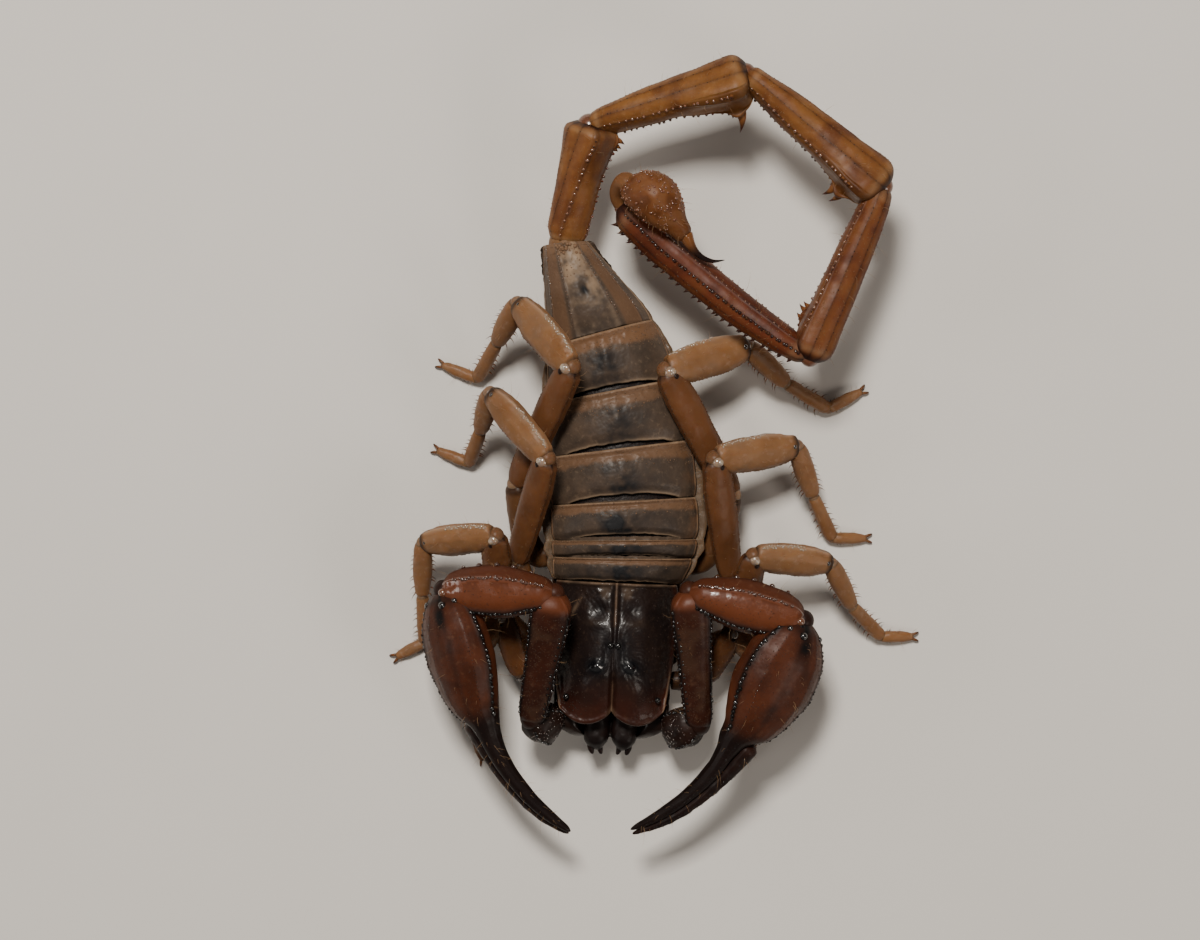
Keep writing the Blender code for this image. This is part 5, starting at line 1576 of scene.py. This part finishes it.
def ring_sizes(k):
    """A ring's table of sections: narrow at both ends, and widest before its rear rim."""
    bow, (width, (front, middle, rear)) = TAIL_BOWS[k], TAIL_SEGMENTS[k][3:5]
    return [
        (0.0, width * 0.58, front * 0.70, 0, 0), (0.05, width * 0.76, front * 0.88, 0, -0.2 * bow),
        (0.14, width * 0.95, front * 1.02, 0, -0.5 * bow),
        (0.4, width * 0.96, middle, 0, -bow), (0.72, width, (middle + rear) / 2, 0, -0.9 * bow),
        (0.9, width, rear, 0, -0.3 * bow), (1.0, width * 0.78, rear * 0.70, 0, 0),
    ]


# %% Build the five rings
for k, (length, *_) in enumerate(TAIL_SEGMENTS):
    seed = 500 + 20 * k
    limb = Limb(TAIL_PLACES[k : k + 2], ring_sizes(k), lambda part, ring=k: back_of_tail(ring, part),
                TAIL_KEELS, caps=(0.05, 0.06), rows=110, columns=120, squareness=0.97,
                extend=(0.1, 0.42), keel_width=4.0)
    limb.roughen(0.035, 1.2, seed)
    crest = step(0.45, 0.86, limb.part) * step(1.0, 0.90, limb.part)
    lower = 52 if limb.at(0.5, 52)[0][2] < limb.at(0.5, 128)[0][2] else 128
    horn = hump(SPINE_AT[k], 0.045, limb.part) * limb.near(lower, 11)
    limb.raise_by(CRESTS[k] * crest * (limb.near(52, 30) + limb.near(128, 30)) + HORNS[k] * horn)
    rng = np.random.default_rng(seed)
    cloud = limb.cloud(1.5, seed + 2, 3)
    keel = sum(limb.near(angle, 2.5) for angle, _ in TAIL_KEELS)
    rims = step(0.95, 0.975, limb.part) + 0.4 * step(0.05, 0.02, limb.part)
    pale_collar_and_highlight = hump(0.935, 0.02, limb.part) + hump(0.07, 0.018, limb.part)
    broad = sum(limb.near(angle, 11) for angle, _ in TAIL_KEELS)
    dark = 0.22 * keel + 0.22 * np.clip(broad, 0, 1) + 0.5 * rims + TAIL_DARK[k]
    dark = dark + 0.25 * step(0.0, 0.7, cloud) + 0.2 * hump(0.98, 0.05, limb.part)
    dark = np.minimum(dark + 0.15 * limb.near(90, 40), 1.0)
    # Pale near both ends of each ring: partly the paler skin of the joint, partly painted highlights where
    # the ends catch the light.
    pale = np.clip(0.22 * pale_collar_and_highlight + 0.35 * hump(0.03, 0.03, limb.part) * step(0.0, 0.5, cloud), 0, 1)
    piece = Piece()
    piece.skin(limb, dark, pale, np.minimum(TAIL_WARM[k] + 0.3 * cloud, 1.0))
    count = int(length * 2.0)
    rows = [(angle, count, 0.08, 0.94, 0.03, 0.06) for angle in (12, 168, -25, 205)]
    rows += [(angle, int(count * 1.2), 0.07, 0.94, 0.025, 0.05) for angle in (-60, 240, 270)]
    if k == LAST_RING:
        rows += [(angle, 52, 0.04, 0.96, 0.11, 0.16) for angle in (8, 172)]
    keel_beads(piece, limb, rows, seed + 3, 0.95 if k == LAST_RING else 0.75)
    onward = unit(limb.at(0.9, 0)[0] - limb.at(0.1, 0)[0])
    teeth = int(length * 1.5)
    for angle in (52, 128):
        upper = angle != lower
        part = scatter(teeth, 0.08, 0.86, seed + angle, 0.25)
        size = 0.10 + 0.06 * part + 0.03 * rng.uniform(-1, 1, teeth)
        size = size * (0.6 if k == LAST_RING else 1.0)
        bead = paint(0.1, 0.14, 2.0) if upper else paint(0.5, 0.0, 2.0)
        piece.beads(*limb.at(part, angle), size, bead, 0.9 if upper else 1.3)
        spots, _ = limb.at(SPINE_AT[k] + SPINE_STEPS, angle)
        _, normals = limb.at(np.full(3, 0.4), angle)
        long = np.array(SPINES[k]) * (0.3 if upper else 1.0)
        piece.thorns(spots, normals, onward * -0.40, long, 0.10 + 0.24 * long, (0.1, 0.0, 0.3), (0.3, 0.7))
    if k == LAST_RING:
        for angle in (-60, 240, 270):
            spots = limb.at(scatter(24, 0.05, 0.97, seed + 9 + angle, 0.2), angle)
            long = 0.26 + 0.14 * rng.uniform(0, 1, 24)
            piece.thorns(*spots, onward * 0.5, long, 0.16, (0.95, 0, 0))
    tint = paint(0.25, 0.15, 0.2)
    grit(piece, limb, int(34 * length), (0, 360), (0.06, 0.95), (0.025, 0.05), seed + 10, tint)
    HAIRY["tail"].append((limb, int(3.5 * length)))
    piece.ball(TAIL_PLACES[k + 1], TAIL_BALLS[k], (0.35, 0.12, 1.7))
    if k == 0:
        piece.ball(TAIL_PLACES[0], 1.3, (0.35, 0.3, 0.2))
    place_piece(piece, f"metasoma_{k + 1}", TAIL)
print("tail rings ready:", len(PIECES), "pieces so far")

# %% [markdown]
# ## The sting bulb
# The last piece of the tail is a swollen bulb on a short stalk, folded back beside the fifth
# ring. Rough granules cover its belly side. From its neck leaves the sting, a thin dark thorn
# that curves back up.

# %% Build the bulb
FOLD_ROLL = math.radians(54.0)
STALK = [(0, 0.6, 0.6), (0.5, 0.62, 0.62), (1, 0.9, 0.9)]
BULB = [
    (0.0, 0.75, 0.75, 0, 0.0), (0.1, 1.30, 1.30, 0, 0.45), (0.25, 1.75, 1.75, 0, 0.8),
    (0.42, 1.88, 1.88, 0, 0.95), (0.62, 1.55, 1.58, 0, 0.75), (0.82, 0.95, 1.0, 0, 0.35),
    (1.0, 0.58, 0.58, 0, 0.0),
]
STING_SIZES = [(0.0, 0.58, 0.58), (0.18, 0.42, 0.42), (0.4, 0.27, 0.27), (0.7, 0.17, 0.17), (1.0, 0.03, 0.03)]
BULB_GRAINS = 420

onward = direction(*TAIL_SEGMENTS[-1][1:3])
away = unit(math.cos(FOLD_ROLL) * direction(TAIL_SEGMENTS[-1][1] - 90) + math.sin(FOLD_ROLL) * UP)
away = unit(away - onward * (away @ onward))
root = TAIL_PLACES[-1] + 0.9 * onward + 2.5 * away
neck = root + 6.3 * direction(-42.0, 3.0)
sting = walk(neck, [(0.95, heading, -8.0) for heading in (-62, -45, -20, 5)])
piece = Piece()
end = TAIL_PLACES[-1]
path = [end - 0.3 * onward, end + 0.55 * onward + 0.35 * away, end + 1.05 * onward + 1.2 * away,
        root, root + 0.8 * unit(neck - root)]
limb = Limb(path, STALK, np.cross(onward, away), caps=(0.1, 0.1), rows=40, columns=40)
piece.skin(limb, 0.3, 0.1, 0.3)
keels = [(130, 0.02), (50, 0.02), (90, 0.02)]
limb = Limb([root, neck], BULB, away, keels, caps=(0.12, 0.06), rows=90, columns=96, squareness=1.0,
            extend=(0.15, 0.1))
limb.roughen(0.05, 0.9, 620)
cloud = limb.cloud(1.0, 621, 3)
# Painted shade: the bulb is darker on its low side, below about 5.4 mm, where shade falls.
low_side = step(5.4, 3.8, limb.surface.grid[..., 2])
dark = 0.26 + 0.40 * low_side + 0.25 * step(0.0, 0.6, cloud) + 0.2 * step(0.7, 1.0, limb.part)
piece.skin(limb, dark, 0.08 * step(0.2, -0.5, cloud), 0.5)
rng = np.random.default_rng(622)
spots, normals = limb.at(rng.uniform(0.05, 0.78, BULB_GRAINS), rng.uniform(0, 360, BULB_GRAINS))
keep = normals[:, 2] > -0.5
sizes = 0.05 + 0.08 * rng.uniform(0, 1, BULB_GRAINS) ** 2
tint = paint(0.2 * rng.uniform(0, 1, BULB_GRAINS) ** 2, 0.2 * rng.uniform(0, 1, BULB_GRAINS), 2.0)
piece.beads(spots[keep], normals[keep], sizes[keep], tint[keep], 0.9)
HAIRY["tail"].append((limb, 60))
place_piece(piece, "telson", TAIL)
print("bulb:", piece.count, "points")

# %% Build the sting
piece = Piece()
limb = Limb(sting, STING_SIZES, -away, caps=(0.05, 0.04), rows=60, columns=32, extend=(0.3, 0.0))
piece.skin(limb, 0.15 + 0.7 * step(0.1, 0.55, limb.part), 0.0, step(0.5, 0.15, limb.part))
place_piece(piece, "sting", STING)
print("sting:", piece.count, "points")

# %% [markdown]
# ## Hairs
# Fine pale bristles stand on the tail, the hands and the legs; a scorpion feels the air with
# them. Each is a thin three-sided cone of its own that leans towards the tip of the limb. Their
# UV map puts every bristle on a tiny patch at its root's place on the limb.

# %% Grow the hairs
BRISTLE = cuticle(
    "bristles", (0.34, 0.20, 0.10), (0.24, 0.13, 0.06), (0.10, 0.05, 0.02), (0.62, 0.46, 0.30),
    (0.4, 0.2, 0.1), rough=0.4, grain=2000, bump=0.05, coat=0.1, speck=0.2,
)
PATCH = 0.003
# How far along a bristle its three rings stand, and their shares of its half width.
BRISTLE_PARTS, BRISTLE_SHARES = np.array([-0.05, 0.35, 0.7]), np.array([1.0, 0.75, 0.45])
BRISTLE_COLUMNS = 3
BRISTLE_ROOT = -0.08


def grow_hairs(name, limbs, longest, width, seed):
    """Bristles over limbs: each is a bent cone of three rings of three points and two ends.

    Where a root lies is random over the limb's length and its upper sides. The length is
    longest * (0.35 + 0.65 * a random share to the power 2.5), so that only a few are long. On
    the map each limb has a tile, across it the part of its length and up it the angle.
    """
    rng = np.random.default_rng(seed)
    piece, patches = Piece(), []
    tiles = math.ceil(math.sqrt(len(limbs)))
    inside = [[r / 3, c / 3] for r in range(3) for c in range(3)] + [[0.5, 0.5], [1, 1]]
    patch = (np.array(inside) - 0.5) * PATCH
    for index, (limb, count) in enumerate(limbs):
        part, angle = rng.uniform(0.06, 0.96, count), rng.uniform(0, 360, count)
        spots, normals = limb.at(part, angle)
        tip = unit(limb.at(0.98, 0)[0] - limb.at(0.02, 0)[0])
        keep = normals[:, 2] > -0.55
        spots, normals, part, angle = spots[keep], normals[keep], part[keep], angle[keep]
        number = len(spots)
        long = longest * (0.35 + 0.65 * rng.uniform(0, 1, number) ** 2.5)
        lean = tip * 0.55 + 0.25 * rng.normal(0, 1, (number, 3))
        points = bent_cones(spots, normals, lean, long, width, BRISTLE_PARTS, BRISTLE_SHARES,
                            BRISTLE_COLUMNS, BRISTLE_ROOT)
        over = piece.copies(fan_faces(3, BRISTLE_COLUMNS), points, (0.0, 0.1, 0.0))
        corner = np.array([index % tiles, index // tiles]) / tiles
        place = corner + np.stack([part, angle / 360], axis=-1) * 0.96 / tiles + 0.02 / tiles
        patches.append((place[over, None] + patch).reshape(-1, 2))
    mesh = place_piece(piece, name, BRISTLE, "").data
    layer = mesh.uv_layers.new(name="OFBake")
    corners = np.zeros(len(mesh.loops), np.int32)
    mesh.loops.foreach_get("vertex_index", corners)
    layer.data.foreach_set("uv", np.concatenate(patches)[corners].astype(np.float32).ravel())
    print(name, len(np.concatenate(patches)) // len(patch), "bristles")


grow_hairs("bristles_tail", HAIRY["tail"], 1.5, 0.014, 701)
grow_hairs("bristles_arms", HAIRY["arms"], 1.2, 0.014, 702)
grow_hairs("bristles_legs", HAIRY["legs"], 0.8, 0.013, 703)

# %% [markdown]
# ## Floor, light and camera
# The model stands on a plain pale floor under a large soft light, as on a museum table. The
# camera looks straight down from arm's length, with the head towards the bottom of the picture.

# %% Set the stage
FLOOR_HALF = 0.5
FLOOR_TONES = ((0.62, 0.59, 0.55), (0.68, 0.65, 0.61))
# Each light's name, place, size, power and colour.
LIGHTS = [
    ("key", (-0.05, 0.17, 0.40), 0.08, 2.2, (1.0, 0.95, 0.88)),
    ("fill", (0.30, -0.22, 0.28), 0.14, 0.50, (1.0, 0.91, 0.82)),
    ("side", (-0.34, -0.05, 0.20), 0.14, 0.22, (1.0, 0.95, 0.90)),
]
ROOM_COLOUR, ROOM_LIGHT = (1.0, 0.94, 0.88, 1.0), 0.13
CAMERA_PLACE = (-0.004265, -0.001541, 0.2885)
VIEW_ANGLE = 18.7


def plain_floor():
    """A square floor a metre wide with a faint unevenness in its tone."""
    mesh = bpy.data.meshes.new("floor")
    corners = [(x * FLOOR_HALF, y * FLOOR_HALF, 0) for x, y in ((-1, -1), (1, -1), (1, 1), (-1, 1))]
    mesh.from_pydata(corners, [], [(0, 1, 2, 3)])
    floor = bpy.data.objects.new("floor", mesh)
    bpy.context.scene.collection.objects.link(floor)
    material = bpy.data.materials.new("floor")
    material.use_nodes = True
    tree = material.node_tree
    shader = tree.nodes["Principled BSDF"]
    place = tree.nodes.new("ShaderNodeTexCoord").outputs["Object"]
    link(tree, mix(tree, clouds(tree, place, 30.0), *FLOOR_TONES), shader.inputs["Base Color"])
    shader.inputs["Roughness"].default_value = 0.85
    mesh.materials.append(material)


def soft_light(name, place, size, power, colour):
    """A square area light that looks at the middle of the floor."""
    data = bpy.data.lights.new(name, "AREA")
    data.size, data.energy, data.color = size, power, colour
    light = bpy.data.objects.new(name, data)
    bpy.context.scene.collection.objects.link(light)
    light.location = place
    light.rotation_euler = (-Vector(place)).to_track_quat("-Z", "Y").to_euler()


plain_floor()
for light in LIGHTS:
    soft_light(*light)
world = bpy.data.worlds.new("room")
bpy.context.scene.world = world
world.use_nodes = True
world.node_tree.nodes["Background"].inputs["Color"].default_value = ROOM_COLOUR
world.node_tree.nodes["Background"].inputs["Strength"].default_value = ROOM_LIGHT
data = bpy.data.cameras.new("camera")
data.sensor_fit = "HORIZONTAL"
data.angle = math.radians(VIEW_ANGLE)
data.clip_start = 0.01
camera = bpy.data.objects.new("camera", data)
bpy.context.scene.collection.objects.link(camera)
camera.location = CAMERA_PLACE
bpy.context.scene.camera = camera
print("camera", CAMERA_PLACE[2], "m above the floor, lights:", len(LIGHTS))

# %% Check every piece against its CAD node and finish
triangles = 0
for thing in PIECES:
    thing.data.calc_loop_triangles()
    triangles += len(thing.data.loop_triangles)
    if thing.get("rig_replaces") and len(thing["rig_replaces"]) == 1:
        points = np.zeros(len(thing.data.vertices) * 3)
        thing.data.vertices.foreach_get("co", points)
        points = points.reshape(-1, 3)
        low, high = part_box(thing["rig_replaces"][0])
        over = max((np.array(low) - points.min(0)).max(), (points.max(0) - np.array(high)).max())
        over *= MM_PER_METRE
        print(f"{thing.name}: {len(thing.data.loop_triangles)} triangles, {over:+.2f} mm past its CAD box")
print("triangles:", triangles)
